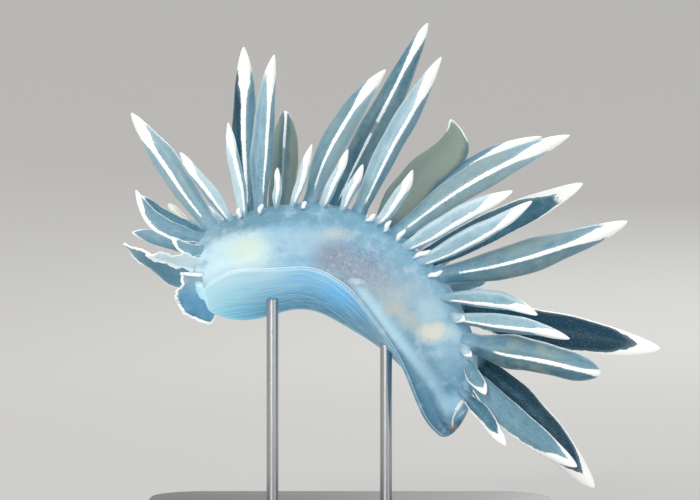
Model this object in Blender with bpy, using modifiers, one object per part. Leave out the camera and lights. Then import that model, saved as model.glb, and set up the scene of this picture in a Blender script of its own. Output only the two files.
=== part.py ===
# Alabaster nudibranch, life size, in a bent swimming pose on a plain display stand with two rods.
#
# Run with: blender --background --python part.py
#
# World frame: metres, +Z up. The origin is the centre of the underside of the stand's base.
# The head is at -X and the tail at +X, the animal's left side is towards -Y, and it is banked, so that
# its sole is half turned towards -Y.
#
# The sizes below are millimetres and degrees, and points become metres only as meshes are made.
# Everything on the body is placed by its share of the sole's length: 0 is the front end of the sole
# and 1 is its hind end.

import math
import random

import bmesh
import bpy
import numpy as np

MM = 0.001
GAP = 0.3
SEED = 11

# Middle line of the sole, seen from the animal's left
SOLE_LENGTH = 78.5
SOLE_FRONT = (-37.0, 56.3)
SLOPE_PLACES = (0.0, 0.15, 0.29, 0.37, 0.45, 0.62, 0.80, 0.92, 1.0)
SLOPES = (4.0, 7.0, 5.0, -19.0, -37.0, -45.0, -59.0, -52.0, -40.0)
BANK_PLACES = (0.0, 0.32, 0.45, 0.58, 0.74, 0.85, 0.93, 1.0)
BANKS = (30.0, 30.0, 24.0, 13.0, 0.0, -12.0, -26.0, -38.0)
PATH_STEPS = 400

# Body: place, height of the back over the sole, half width, height of the underside over the sole
BODY = (
    (-0.024, 10.6, 2.2, 6.0),
    (-0.016, 13.4, 4.6, 3.6),
    (0.0, 16.2, 6.4, 2.2),
    (0.04, 18.8, 7.6, 2.1),
    (0.10, 21.0, 8.6, 2.1),
    (0.18, 22.2, 9.3, 2.1),
    (0.31, 23.0, 9.6, 2.1),
    (0.44, 24.0, 9.8, 2.1),
    (0.55, 23.4, 9.4, 2.1),
    (0.65, 22.0, 8.6, 2.1),
    (0.74, 20.0, 7.6, 2.1),
    (0.83, 17.2, 6.2, 2.1),
    (0.90, 14.4, 4.8, 2.1),
    (0.96, 10.8, 3.3, 2.1),
    (0.99, 6.6, 1.7, 2.0),
)
BACK_POWER = 2.5
FLANK_POWER = 4.5
BODY_SIDES = 26
BODY_STEP = 0.029
BODY_NODES = (
    ("head", -0.024, 0.10),
    ("body_front", 0.10, 0.287),
    ("body_middle", 0.287, 0.575),
    ("body_rear", 0.575, 0.742),
    ("tail", 0.742, 0.99),
)

# Foot: half width of the sole at each place, and its section
FOOT_PLACES = (0.0, 0.01, 0.04, 0.09, 0.15, 0.20, 0.26, 0.31, 0.45, 0.56, 0.70, 0.85, 0.94, 0.98, 1.0)
FOOT_WIDTHS = (1.6, 4.6, 8.5, 11.7, 12.8, 12.0, 10.8, 10.6, 10.6, 10.4, 9.2, 7.2, 4.8, 3.1, 1.2)
FOOT_THICKNESS = 1.8
FOOT_EDGE = 0.8
FOOT_HOLLOW = 0.4
FOOT_RIM = 1.0
FOOT_NODES = (
    ("foot_front", 0.0, 0.36),
    ("foot_middle", 0.36, 0.68),
    ("foot_rear", 0.68, 1.0),
)

# Cerata: how a ceras of each size is built, and how deep its root goes below the skin
LARGE = dict(sides=8, rings=(0.0, 0.14, 0.32, 0.52, 0.70, 0.84, 0.94), sunk=2.6)
MEDIUM = dict(sides=6, rings=(0.0, 0.18, 0.40, 0.64, 0.86), sunk=2.0)
SMALL = dict(sides=6, rings=(0.0, 0.35, 0.75), sunk=1.4)
WIDEST = 0.38
NECK = 0.55
EDGE_POWER = 1.7
# A hook's sideways shift along a ceras, share ** 5 * (1 - share), is greatest at five sixths of it
HOOK_PEAK = (5 / 6) ** 5 / 6

# Rows of cerata, as degrees round the section: 0 is the left flank, 90 the back, 180 the right flank
LEFT_ROW, LEFT_OUTER_ROW, LEFT_FRINGE = 62.0, 40.0, 30.0
RIGHT_ROW = 112.0

# Large cerata of the left row. Each heading is anticlockwise from +X, each lean away from -Y, and turn
# swings a ceras about its own length
LEFT_LARGE = (
    dict(place=0.050, heading=125, lean=-6, length=35.3, width=7.6, turn=12),
    dict(place=0.226, heading=85, lean=2, length=39.3, width=6.8, turn=22, bow=1.1),
    dict(place=0.326, heading=61, lean=4, length=39.1, width=7.8, turn=-2, bow=2.6),
    dict(place=0.388, heading=62, lean=-2, length=44.4, width=7.2, turn=14, bow=0.8),
    dict(place=0.460, heading=30, lean=2, length=50.0, width=8.6, turn=2, bow=2.2),
    dict(place=0.612, heading=16, lean=2, length=49.2, width=9.4, bow=-1.6),
    dict(place=0.778, heading=-13, lean=-4, length=32.9, width=9.8, turn=10, bow=0.3, blunt=True),
    dict(place=0.870, heading=-41, lean=-6, length=34.3, width=6.8, flat=0.6, turn=82, bow=-1.5),
)

# Cerata of the left outer row, of middle size
LEFT_MEDIUM = (
    dict(place=0.117, heading=126, lean=-16, length=21.5, width=4.2, turn=14),
    dict(place=0.164, heading=99, lean=-14, length=24.1, width=4.1, turn=-18),
    dict(place=0.272, heading=88, lean=-20, length=10.7, width=2.6),
    dict(place=0.302, heading=72, lean=-20, length=17.1, width=3.4, turn=15),
    dict(place=0.341, heading=66, lean=-22, length=16.7, width=3.8, turn=14),
    dict(place=0.365, heading=65, lean=-22, length=13.5, width=4.0, turn=14),
    dict(place=0.418, heading=56, lean=-22, length=17.3, width=4.6, turn=12, bow=-1),
    dict(place=0.492, heading=28, lean=-18, length=30.7, width=5.8, turn=34, bow=0.6),
    dict(place=0.548, heading=29, lean=-18, length=32.4, width=5.7, turn=30, bow=-0.7),
    dict(place=0.661, heading=-10, lean=-20, length=23.7, width=5.3, turn=30, bow=1.8),
    dict(place=0.708, heading=-10, lean=-18, length=29.1, width=5.2, turn=22, bow=1),
    dict(place=0.822, heading=-59, lean=-24, length=9.6, width=3.6, flat=0.6, turn=80),
    dict(place=0.915, heading=-51, lean=-16, length=16.5, width=3.8, flat=0.6, turn=75, bow=0.4),
)

# Large cerata of the right row, seen between those of the left
RIGHT_LARGE = (
    dict(place=0.168, heading=92, lean=10, length=48.5, width=8.4, turn=2),
    dict(place=0.258, heading=85, lean=14, length=30.6, width=8.4, bow=-1.0, blunt=True),
    dict(place=0.350, heading=63.5, lean=12, length=59.9, width=9.2),
    dict(place=0.442, heading=60, lean=14, length=37.5, width=11.4, flat=0.6, turn=65, bow=0.4,
         hook=-4.4, blunt=True),
    dict(place=0.482, heading=38, lean=16, length=50.1, width=6.4, turn=-6, bow=5.3),
    dict(place=0.545, heading=25.5, lean=12, length=49.0, width=8.0, flat=0.6, turn=70),
    dict(place=0.643, heading=8, lean=26, length=14.6, width=5.0, turn=40),
    dict(place=0.690, heading=-12, lean=12, length=55.5, width=9.8, flat=0.6, turn=75, bow=-1.2),
    dict(place=0.836, heading=-47, lean=10, length=45.4, width=9.0, flat=0.6, turn=80, bow=0.5),
)

# Cerata round the front of the head, each with its own row
HEAD_CERATA = (
    dict(place=0.014, row=42, heading=144, lean=-14, length=20.8, width=4.7, flat=0.6, turn=66, bow=-3.4),
    dict(place=0.022, row=62, heading=148.5, lean=-1, length=18.5, width=3.6, flat=0.5, turn=62, bow=-1.0),
    dict(place=0.010, row=126, heading=163, lean=18, length=21.0, width=4.4, flat=0.6, turn=80, bow=0.8),
    dict(place=0.050, row=128, heading=150, lean=34, length=17.0, width=5.0, flat=0.7, turn=30, bow=2),
    dict(place=0.015, row=6, heading=158, lean=-38, length=10.2, width=3.6, flat=0.5, turn=62, bow=-1.5),
)

# Short fringe cerata of the left side, each with its place, heading, length and turn
LEFT_SHORT = (
    (0.148, 90, 3.6, 0),
    (0.222, 73, 3.2, 0),
    (0.314, 51, 2.6, 0),
    (0.402, 36, 3.8, 0),
    (0.435, 58, 4.2, 0),
    (0.464, 52, 4.7, 0),
    (0.523, 25, 5.8, 0),
    (0.590, 21, 4.8, 0),
    (0.693, -21, 4.6, 70),
    (0.764, -48, 4.8, 75),
)
SHORT_LEAN = -34.0
SHORT_WIDTH = 2.0

# The right side repeats the left one's outer rows, shorter and varied a little
RIGHT_LEAN_GAIN = 6.0
RIGHT_LENGTH = 0.68
RIGHT_HEADING_SPREAD = 3.0
RIGHT_LENGTH_SPREAD = 0.08

# Head pieces
RHINOPHORE_LENGTH = 12.0
RHINOPHORE_STALK = 0.85
RHINOPHORE_CLUB = 1.2
RHINOPHORE_LEAVES = 5
RHINOPHORE_SEGMENTS = 12
RHINOPHORE_SUNK = 2.5
RHINOPHORE_PLACE, RHINOPHORE_HEIGHT = 0.004, 17.2
RHINOPHORES = (
    dict(name="rhinophore_left", sideways=1.8, heading=134, lean=8),
    dict(name="rhinophore_right", sideways=-2.4, heading=136, lean=15),
)
LIP_SIZE = (1.2, 1.25, 1.2)
LIP_SPREAD = 1.45
LIP_PLACE, LIP_HEIGHT = -0.010, 2.7
HEAD_SEAT_END = 0.14

# Oral veil: a sheet in three parts, with a wavy margin
VEIL_THICKNESS = 0.9
VEIL_MARGIN = 0.55
VEIL_WAVES = 5
# Each corner lobe: its root as along, sideways and height at the sole's front end, then its leaf
VEIL_LOBES = (
    dict(name="veil_left", root=(0.6, 5.8, 7.4), heading=171, lean=-16, length=14.2, width=9, turn=-24,
         wave=0.45, cup=-0.3, sag=0.0),
    dict(name="veil_right", root=(-0.6, -5.6, 7.6), heading=151.8, lean=13, length=23.1, width=10, turn=-36,
         wave=0.45, cup=1.0, sag=1.7),
)
# The middle of the veil, from the left end of its root to the right end
VEIL_FRONT_START, VEIL_FRONT_END = (0.4, 6.4, 3.8), (2.6, -11.2, 1.8)
VEIL_FRONT_BULGE, VEIL_FRONT_RISE = 2.6, 2.0
# Share of the way from left to right, reach, and how far it points up for each millimetre of reach
VEIL_FRONT_STATIONS = (
    (0.0, 5.2, 0.11),
    (0.2, 4.4, -0.34),
    (0.35, 5.7, -0.38),
    (0.5, 6.0, -0.42),
    (0.7, 5.4, -0.59),
    (0.85, 4.3, -0.75),
    (1.0, 2.4, -0.80),
)
# It points forwards by the first number at its left end, less by the second at its right end
VEIL_FRONT_FORWARDS = (0.92, 0.42)
VEIL_FRONT_WAVES, VEIL_FRONT_WAVE = 4, 0.3

# Stand
BASE_LENGTH, BASE_WIDTH, BASE_HEIGHT = 104.0, 76.0, 5.0
BASE_CORNER, BASE_BEVEL = 14.0, 0.8
ROD_DIAMETER = 3.0
# Each rod: the place on the sole that it carries, and how far that is to the left
RODS = (("stand_rod_front", 0.22, -4.5), ("stand_rod_rear", 0.66, -3.0))
ROD_SEGMENTS = 20

# Colours as linear red, green and blue, with roughness and metallic value
FINISHES = {
    "flesh": ((0.50, 0.66, 0.78), 0.34, 0.0),
    "foot": ((0.32, 0.55, 0.76), 0.30, 0.0),
    "veil": ((0.62, 0.74, 0.80), 0.34, 0.0),
    "rhinophore": ((0.82, 0.80, 0.70), 0.40, 0.0),
    "base": ((0.05, 0.055, 0.06), 0.35, 0.0),
    "rod": ((0.56, 0.57, 0.58), 0.25, 1.0),
}


# Curves and frames

def smooth(places, values, at):
    # Cubic curve through the values at the places, level at each peak and dip
    places, values, at = (np.asarray(item, float) for item in (places, values, at))
    rise = np.diff(values) / np.diff(places)
    slope = np.concatenate([rise[:1], (rise[:-1] + rise[1:]) / 2, rise[-1:]])
    slope[1:-1][rise[:-1] * rise[1:] <= 0] = 0
    index = np.clip(np.searchsorted(places, at, side="right") - 1, 0, len(places) - 2)
    span = places[index + 1] - places[index]
    share = np.clip((at - places[index]) / span, 0, 1)
    first = values[index] + share**2 * (3 - 2 * share) * (values[index + 1] - values[index])
    bend_in = share * (1 - share) ** 2 * span * slope[index]
    bend_out = share**2 * (share - 1) * span * slope[index + 1]
    return first + bend_in + bend_out


def sole_path():
    # Place, slope, x and z along the sole's middle line, summed from its slopes in short steps
    place = np.linspace(0, 1, PATH_STEPS + 1)
    slope = np.radians(smooth(SLOPE_PLACES, SLOPES, place))
    middle = (slope[1:] + slope[:-1]) / 2
    step = SOLE_LENGTH / PATH_STEPS
    x = SOLE_FRONT[0] + np.concatenate([[0], np.cumsum(np.cos(middle) * step)])
    z = SOLE_FRONT[1] + np.concatenate([[0], np.cumsum(np.sin(middle) * step)])
    return place, slope, x, z


SOLE = sole_path()


def frame_at(place):
    # Point on the sole's middle line, and unit vectors: backwards, to the animal's left, and up its back
    inside = min(max(place, 0.0), 1.0)
    slope = np.interp(inside, SOLE[0], SOLE[1])
    bank = math.radians(float(smooth(BANK_PLACES, BANKS, inside)))
    past = (place - inside) * SOLE_LENGTH
    backwards = np.array([math.cos(slope), 0.0, math.sin(slope)])
    upright = np.array([-math.sin(slope), 0.0, math.cos(slope)])
    across = np.array([0.0, 1.0, 0.0])
    point = np.array([np.interp(inside, SOLE[0], SOLE[2]), 0.0, np.interp(inside, SOLE[0], SOLE[3])])
    left = upright * math.sin(bank) - across * math.cos(bank)
    dorsal = upright * math.cos(bank) + across * math.sin(bank)
    return point + backwards * past, backwards, left, dorsal


def in_frame(place, along, sideways, height):
    # World point at a place, moved along the body, to the left and up from the sole
    point, backwards, left, dorsal = frame_at(place)
    return point + backwards * along + left * sideways + dorsal * height


def body_section(place, degrees, grow=0.0):
    # Sideways and height of the skin at an angle round the body: a squarer curve below than above
    columns = list(zip(*BODY))
    top = float(smooth(columns[0], columns[1], place)) + grow
    half = float(smooth(columns[0], columns[2], place)) + grow
    under = float(smooth(columns[0], columns[3], place)) - grow
    middle = under + (top - under) * 0.5
    angle = np.radians(np.asarray(degrees, float))
    power = np.where(np.sin(angle) >= 0, BACK_POWER, FLANK_POWER)
    sideways = half * np.sign(np.cos(angle)) * np.abs(np.cos(angle)) ** (2 / power)
    height = middle + (top - middle) * np.sign(np.sin(angle)) * np.abs(np.sin(angle)) ** (2 / power)
    return sideways, height


def skin_point(place, degrees):
    sideways, height = body_section(place, degrees)
    return in_frame(place, 0.0, float(sideways), float(height))


def direction(heading, lean):
    # Unit vector at a heading in the XZ plane, anticlockwise from +X, leaning towards +Y
    heading, lean = math.radians(heading), math.radians(lean)
    flat = math.cos(lean)
    return np.array([math.cos(heading) * flat, math.sin(lean), math.sin(heading) * flat])


def unit(vector):
    return vector / np.linalg.norm(vector)


# Meshes

def link(name, mesh, collection):
    piece = bpy.data.objects.new(name, mesh)
    collection.objects.link(piece)
    return piece


def mesh_from(name, points, faces, collection):
    # Mesh object from points in millimetres, with its faces turned outwards
    mesh = bpy.data.meshes.new(name)
    mesh.from_pydata((np.asarray(points) * MM).tolist(), [], faces)
    work = bmesh.new()
    work.from_mesh(mesh)
    bmesh.ops.recalc_face_normals(work, faces=work.faces)
    work.to_mesh(mesh)
    work.free()
    return link(name, mesh, collection)


def loft(name, rings, start, end, collection):
    # Closed surface through rings of equal counts, each end closed by a fan of faces to one point
    count = len(rings[0])
    points = [point for ring in rings for point in ring] + [start, end]
    first, last = len(points) - 2, len(points) - 1
    faces = []
    for row in range(len(rings) - 1):
        low, high = row * count, (row + 1) * count
        for k in range(count):
            after = (k + 1) % count
            faces.append((low + k, low + after, high + after, high + k))
    top = (len(rings) - 1) * count
    for k in range(count):
        after = (k + 1) % count
        faces.append((first, after, k))
        faces.append((last, top + k, top + after))
    return mesh_from(name, points, faces, collection)


def replace_mesh(piece, mesh):
    old = piece.data
    piece.modifiers.clear()
    piece.data = mesh
    bpy.data.meshes.remove(old)


def apply_modifiers(piece):
    # The object's shape with its modifiers becomes its mesh
    bpy.context.view_layer.update()
    graph = bpy.context.evaluated_depsgraph_get()
    replace_mesh(piece, bpy.data.meshes.new_from_object(piece.evaluated_get(graph)))


def keep_largest(piece):
    # Only the largest closed surface stays: loose scraps and sealed hollows go
    work = bmesh.new()
    work.from_mesh(piece.data)
    left = set(work.faces)
    islands = []
    while left:
        island, edge_of_search = set(), [left.pop()]
        while edge_of_search:
            face = edge_of_search.pop()
            island.add(face)
            for edge in face.edges:
                for other in edge.link_faces:
                    if other in left:
                        left.discard(other)
                        edge_of_search.append(other)
        islands.append(island)
    islands.sort(key=lambda island: sum(face.calc_area() for face in island))
    scraps = [face for island in islands[:-1] for face in island]
    bmesh.ops.delete(work, geom=scraps, context="FACES")
    work.to_mesh(piece.data)
    work.free()


def fuse(piece, extras):
    # One closed body from the piece and all that grows on it
    group = bpy.data.collections.new(piece.name + "_extras")
    bpy.context.scene.collection.children.link(group)
    for extra in extras:
        for owner in list(extra.users_collection):
            owner.objects.unlink(extra)
        group.objects.link(extra)
    union = piece.modifiers.new("fuse", "BOOLEAN")
    union.operation = "UNION"
    union.operand_type = "COLLECTION"
    union.collection = group
    union.solver = "EXACT"
    apply_modifiers(piece)
    for extra in extras:
        bpy.data.objects.remove(extra)
    bpy.data.collections.remove(group)
    keep_largest(piece)


def cut(piece, cutter):
    # Takes the cutter's shape out of the piece
    difference = piece.modifiers.new("cut", "BOOLEAN")
    difference.operation = "DIFFERENCE"
    difference.object = cutter
    difference.solver = "EXACT"
    apply_modifiers(piece)
    keep_largest(piece)


# Body and foot

def body_loft(name, start, end, collection, grow=0.0):
    # A length of the body, with a flat end face half a gap short of each cut
    degrees = np.arange(BODY_SIDES) * 360.0 / BODY_SIDES + 180.0 / BODY_SIDES
    count = max(3, round((end - start) / BODY_STEP) + 1)
    places = np.linspace(start, end, count)
    nose, hind = BODY[0][0], BODY[-1][0]
    if start == nose:
        places = np.concatenate([[nose, (nose + BODY[1][0]) / 2, BODY[1][0]], np.linspace(0, end, 4)])
    rings = []
    for place in places:
        along = 0.0
        if place == start:
            along = -grow if start == nose else GAP / 2
        if place == end:
            along = grow if end == hind else -GAP / 2
        sideways, height = body_section(place, degrees, grow)
        rings.append([in_frame(place, along, s, h) for s, h in zip(sideways, height)])
    caps = [np.mean(rings[0], axis=0), np.mean(rings[-1], axis=0)]
    if start == nose:
        caps[0] = caps[0] - frame_at(start)[1] * 0.5
    if end == hind:
        caps[1] = caps[1] + frame_at(end)[1] * 0.8
    return loft(name, rings, caps[0], caps[1], collection)


def foot_section(place):
    # Outline of the foot across the body: a hollow sole, a thin margin and a flat top
    half = float(smooth(FOOT_PLACES, FOOT_WIDTHS, place))
    rim = min(FOOT_RIM, half * 0.25)
    top = FOOT_THICKNESS * min(1.0, 0.55 + 0.1 * half)
    mid = FOOT_EDGE / 2
    upper = [(half, mid), (half - rim, FOOT_EDGE), (half * 0.76, top), (half * 0.3, top)]
    lower = [(half * 0.25, FOOT_HOLLOW), (half * 0.6, FOOT_HOLLOW * 0.7), (half - rim, 0.0)]
    mirrored_upper = [(-s, h) for s, h in reversed(upper)]
    mirrored_lower = [(-s, h) for s, h in reversed(lower)]
    return upper + mirrored_upper + mirrored_lower + lower


def foot_loft(name, start, end, collection):
    count = max(4, round((end - start) / BODY_STEP) + 1)
    places = np.linspace(start, end, count)
    if start == FOOT_PLACES[0]:
        places = np.concatenate([[0.0, 0.01, 0.025], np.linspace(0.05, end, count - 1)])
    if end == FOOT_PLACES[-1]:
        places = np.concatenate([np.linspace(start, 0.94, count - 2), [0.965, 0.985, 1.0]])
    rings = []
    for place in places:
        along = 0.0
        if place == start and start > 0:
            along = GAP / 2
        if place == end and end < 1:
            along = -GAP / 2
        rings.append([in_frame(place, along, s, h) for s, h in foot_section(place)])
    caps = [np.mean(rings[0], axis=0), np.mean(rings[-1], axis=0)]
    return loft(name, rings, caps[0], caps[1], collection)


# Cerata

def ceras_width(share, blunt):
    # Share of the full width: a neck at the root, widest at WIDEST, then a slim or a blunt round tip
    if share < WIDEST:
        return NECK + (1 - NECK) * math.sin(math.pi / 2 * share / WIDEST) ** 1.3
    past = (share - WIDEST) / (1 - WIDEST)
    if blunt:
        return (1 - past**3.2) ** 0.6
    return (1 - past**2.1) ** 0.68


def ceras(name, build, collection, place, row, heading, lean, length, width,
          flat=0.85, turn=0.0, bow=0.0, hook=0.0, blunt=False):
    # One leaf with a lens-shaped section, from a root below the skin to its tip
    # turn swings its wide side about its length, bow bends it evenly, and hook bends it near its tip
    root = skin_point(place, row)
    along = direction(heading, lean)
    wide = np.array([0.0, 1.0, 0.0])
    wide = unit(wide - along * float(wide @ along))
    above = np.cross(along, wide)
    above = above * (1 if above[2] >= 0 or (above[2] > -0.15 and above[0] > 0) else -1)
    angle = math.radians(turn)
    broad = wide * math.cos(angle) + above * math.sin(angle)
    thin = np.cross(along, broad)
    around = [2 * math.pi * k / build["sides"] for k in range(build["sides"])]
    edge = 2 / EDGE_POWER
    outline = [(math.copysign(abs(math.cos(a)) ** edge, math.cos(a)),
                math.copysign(abs(math.sin(a)) ** edge, math.sin(a)) * flat) for a in around]
    rings = []
    for share in (-build["sunk"] / length,) + build["rings"]:
        inside = max(share, 0.0)
        aside = bow * 4 * inside * (1 - inside) + hook * inside**5 * (1 - inside) / HOOK_PEAK
        middle = root + along * (share * length) + above * aside
        half = width / 2 * ceras_width(inside, blunt)
        if share < 0:
            half = half * 0.8
        rings.append([middle + (broad * c + thin * s) * half for c, s in outline])
    return loft(name, rings, np.mean(rings[0], axis=0), root + along * length, collection)


def left_cerata():
    # Every ceras of the left side and the head, as its build and its sizes
    found = [(LARGE, dict(row=LEFT_ROW, **leaf)) for leaf in LEFT_LARGE]
    found += [(MEDIUM, dict(row=LEFT_OUTER_ROW, **leaf)) for leaf in LEFT_MEDIUM]
    for place, heading, length, turn in LEFT_SHORT:
        leaf = dict(place=place, row=LEFT_FRINGE, heading=heading, lean=SHORT_LEAN, turn=turn)
        found.append((SMALL, dict(leaf, length=length, width=SHORT_WIDTH)))
    return found + [(LARGE, dict(leaf)) for leaf in HEAD_CERATA]


def right_cerata():
    # The right side's large row, and its outer rows as a varied mirror of the left side's
    draw = random.Random(SEED)
    found = [(LARGE, dict(row=RIGHT_ROW, **leaf)) for leaf in RIGHT_LARGE]
    for leaf in LEFT_MEDIUM:
        leaf = dict(leaf, row=180 - LEFT_OUTER_ROW, lean=RIGHT_LEAN_GAIN - leaf["lean"])
        leaf["heading"] += draw.uniform(-1, 1) * RIGHT_HEADING_SPREAD
        leaf["length"] *= RIGHT_LENGTH * (1 + draw.uniform(-1, 1) * RIGHT_LENGTH_SPREAD)
        found.append((MEDIUM, leaf))
    for place, heading, length, turn in LEFT_SHORT:
        leaf = dict(place=place, row=180 - LEFT_FRINGE, heading=heading, lean=-SHORT_LEAN, turn=turn)
        found.append((SMALL, dict(leaf, length=length, width=SHORT_WIDTH)))
    return found


def cerata_between(start, end, collection):
    # Meshes of all the cerata that grow from one length of the body
    leaves = []
    for build, leaf in left_cerata() + right_cerata():
        if start <= leaf["place"] < end:
            leaves.append(ceras("ceras", build, collection, **leaf))
    return leaves


# Head pieces

def placed(profile, sideways, up, name, collection):
    # A turned piece: its profile of radius and height, top to bottom, spun and stood along an axis
    mesh = bpy.data.meshes.new(name)
    points = [(radius * MM, 0.0, height * MM) for radius, height in profile]
    mesh.from_pydata(points, [(k, k + 1) for k in range(len(points) - 1)], [])
    piece = link(name, mesh, collection)
    turned = piece.modifiers.new("turned", "SCREW")
    turned.steps = RHINOPHORE_SEGMENTS
    turned.render_steps = RHINOPHORE_SEGMENTS
    turned.use_merge_vertices = True
    turned.merge_threshold = 0.00001
    apply_modifiers(piece)
    side = unit(np.cross([0.0, 1.0, 0.0], up))
    turn = np.stack([side, np.cross(up, side), up], axis=1)
    foot = in_frame(RHINOPHORE_PLACE, 0.0, sideways, RHINOPHORE_HEIGHT) * MM
    points = np.array([vertex.co[:] for vertex in piece.data.vertices])
    for vertex, point in zip(piece.data.vertices, points @ turn.T + foot):
        vertex.co = point
    return piece


def rhinophore(name, sideways, heading, lean, collection):
    # A stalk and a club with leaves round it, rising from inside the head
    club_start = RHINOPHORE_LENGTH * 0.4
    club_end = RHINOPHORE_LENGTH * 0.93
    profile = [(0.0, RHINOPHORE_LENGTH), (RHINOPHORE_CLUB * 0.55, RHINOPHORE_LENGTH * 0.97)]
    for leaf in range(RHINOPHORE_LEAVES):
        share = leaf / RHINOPHORE_LEAVES
        height = club_end - (club_end - club_start) * share
        step = (club_end - club_start) / RHINOPHORE_LEAVES
        radius = RHINOPHORE_CLUB * (0.75 + 0.25 * math.sin(math.pi * (share + 0.2)))
        profile.append((radius, height - step * 0.45))
        profile.append((radius * 0.8, height - step * 0.8))
    profile.append((RHINOPHORE_STALK, club_start - 0.5))
    profile += [(RHINOPHORE_STALK * 1.25, -RHINOPHORE_SUNK), (0.0, -RHINOPHORE_SUNK)]
    return placed(profile, sideways, direction(heading, lean), name, collection)


def lips(collection):
    # Two lips with the slit of the mouth between them, low on the face
    found = []
    for side in (-1, 1):
        work = bmesh.new()
        bmesh.ops.create_uvsphere(work, u_segments=8, v_segments=6, radius=1.0)
        mesh = bpy.data.meshes.new("lip")
        work.to_mesh(mesh)
        work.free()
        backwards, left, dorsal = frame_at(LIP_PLACE)[1:]
        centre = in_frame(LIP_PLACE, -GAP, side * LIP_SPREAD, LIP_HEIGHT)
        for vertex in mesh.vertices:
            x, y, z = (value * size for value, size in zip(vertex.co, LIP_SIZE))
            vertex.co = (centre + backwards * x + left * y + dorsal * z) * MM
        found.append(link("lip", mesh, collection))
    return found


# Oral veil

def sheet(name, edge_points, collection):
    # Closed thin sheet from a grid of middle points, thinner at its free margin
    # edge_points[row][column]: rows run from the root to the free margin
    grid = np.array(edge_points)
    rows, columns = grid.shape[:2]
    down_rows = np.gradient(grid, axis=0)
    down_columns = np.gradient(grid, axis=1)
    normal = np.cross(down_rows, down_columns)
    normal = normal / np.linalg.norm(normal, axis=2)[..., None]
    share = np.linspace(0, 1, rows)[:, None, None]
    half = (VEIL_THICKNESS * (1 - share) + VEIL_MARGIN * share) / 2
    points = np.concatenate([(grid + normal * half).reshape(-1, 3), (grid - normal * half).reshape(-1, 3)])
    count = rows * columns
    faces = []
    for r in range(rows - 1):
        for c in range(columns - 1):
            a, b = r * columns + c, r * columns + c + 1
            d, e = a + columns, b + columns
            faces += [(a, b, e), (a, e, d)]
            faces += [(count + a, count + e, count + b), (count + a, count + d, count + e)]
    rim = [c for c in range(columns)]
    rim += [r * columns + columns - 1 for r in range(1, rows)]
    rim += [(rows - 1) * columns + c for c in range(columns - 2, -1, -1)]
    rim += [r * columns for r in range(rows - 2, 0, -1)]
    for here, after in zip(rim, rim[1:] + rim[:1]):
        faces += [(here, count + here, after), (after, count + here, count + after)]
    return mesh_from(name, points, faces, collection)


def veil_lobe(name, root, heading, lean, length, width, turn, wave, cup, sag, collection):
    # A corner lobe of the veil: a rounded leaf that sags a little, with waves along its margins
    root = in_frame(0.0, *root)
    along = direction(heading, lean)
    wide = np.array([0.0, 1.0, 0.0])
    wide = unit(wide - along * float(wide @ along))
    above = np.cross(wide, along)
    angle = math.radians(turn)
    broad = wide * math.cos(angle) + above * math.sin(angle)
    raised = np.cross(along, broad)
    rows, columns = 9, 7
    grid = []
    for r in range(rows):
        share = r / (rows - 1)
        half = width / 2 * (0.75 + 0.25 * math.sin(math.pi * min(1.0, share / 0.5)))
        half = half * (1 - max(0.0, (share - 0.35) / 0.65) ** 2.2 * 0.9)
        line = []
        for c in range(columns):
            across = -1 + 2 * c / (columns - 1)
            waved = wave * math.sin(VEIL_WAVES * math.pi * share + across)
            bent = (waved - cup * (1 - share)) * across**2
            spot = root + along * (length * share) + broad * (half * across) + raised * bent
            line.append(spot + np.array([0.0, 0.0, -sag * 4 * share * (1 - share)]))
        grid.append(line)
    return sheet(name, grid, collection)


def veil_front(collection):
    # The middle of the veil: a crescent round the front of the face, cupped, with a wavy margin
    rows, columns = 5, 19
    start, end = np.array(VEIL_FRONT_START), np.array(VEIL_FRONT_END)
    swell = np.array([-VEIL_FRONT_BULGE, 0.0, VEIL_FRONT_RISE])
    places, reaches, falls = zip(*VEIL_FRONT_STATIONS)
    forwards, less = VEIL_FRONT_FORWARDS
    grid = []
    for r in range(rows):
        share = r / (rows - 1)
        line = []
        for c in range(columns):
            turn = c / (columns - 1)
            bulge = math.sin(math.pi * turn)
            root = start + (end - start) * turn + swell * bulge
            wave = VEIL_FRONT_WAVE * share * math.sin(turn * VEIL_FRONT_WAVES * 2 * math.pi)
            reach = float(smooth(places, reaches, turn)) * share
            ahead = -forwards + less * max(0.0, (turn - 0.75) / 0.25)
            out = np.array([ahead, 0.10 - 0.40 * turn, float(smooth(places, falls, turn))])
            spot = root + out * reach + np.array([0.0, 0.0, wave])
            line.append(in_frame(0.0, *spot))
        grid.append(line)
    return sheet("veil_front", grid, collection)


# Stand

def base(collection):
    work = bmesh.new()
    bmesh.ops.create_cube(work, size=1.0)
    for vertex in work.verts:
        vertex.co.x *= BASE_LENGTH * MM
        vertex.co.y *= BASE_WIDTH * MM
        vertex.co.z = (vertex.co.z + 0.5) * BASE_HEIGHT * MM
    uprights = [edge for edge in work.edges if abs(edge.verts[0].co.z - edge.verts[1].co.z) > MM]
    bmesh.ops.bevel(work, geom=uprights, offset=BASE_CORNER * MM, segments=6, profile=0.5, affect="EDGES")
    below_top = (BASE_HEIGHT - 0.1) * MM
    rim = [edge for edge in work.edges if min(vertex.co.z for vertex in edge.verts) > below_top]
    bmesh.ops.bevel(work, geom=rim, offset=BASE_BEVEL * MM, segments=2, profile=0.5, affect="EDGES")
    mesh = bpy.data.meshes.new("stand_base")
    work.to_mesh(mesh)
    work.free()
    return link("stand_base", mesh, collection)


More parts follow.
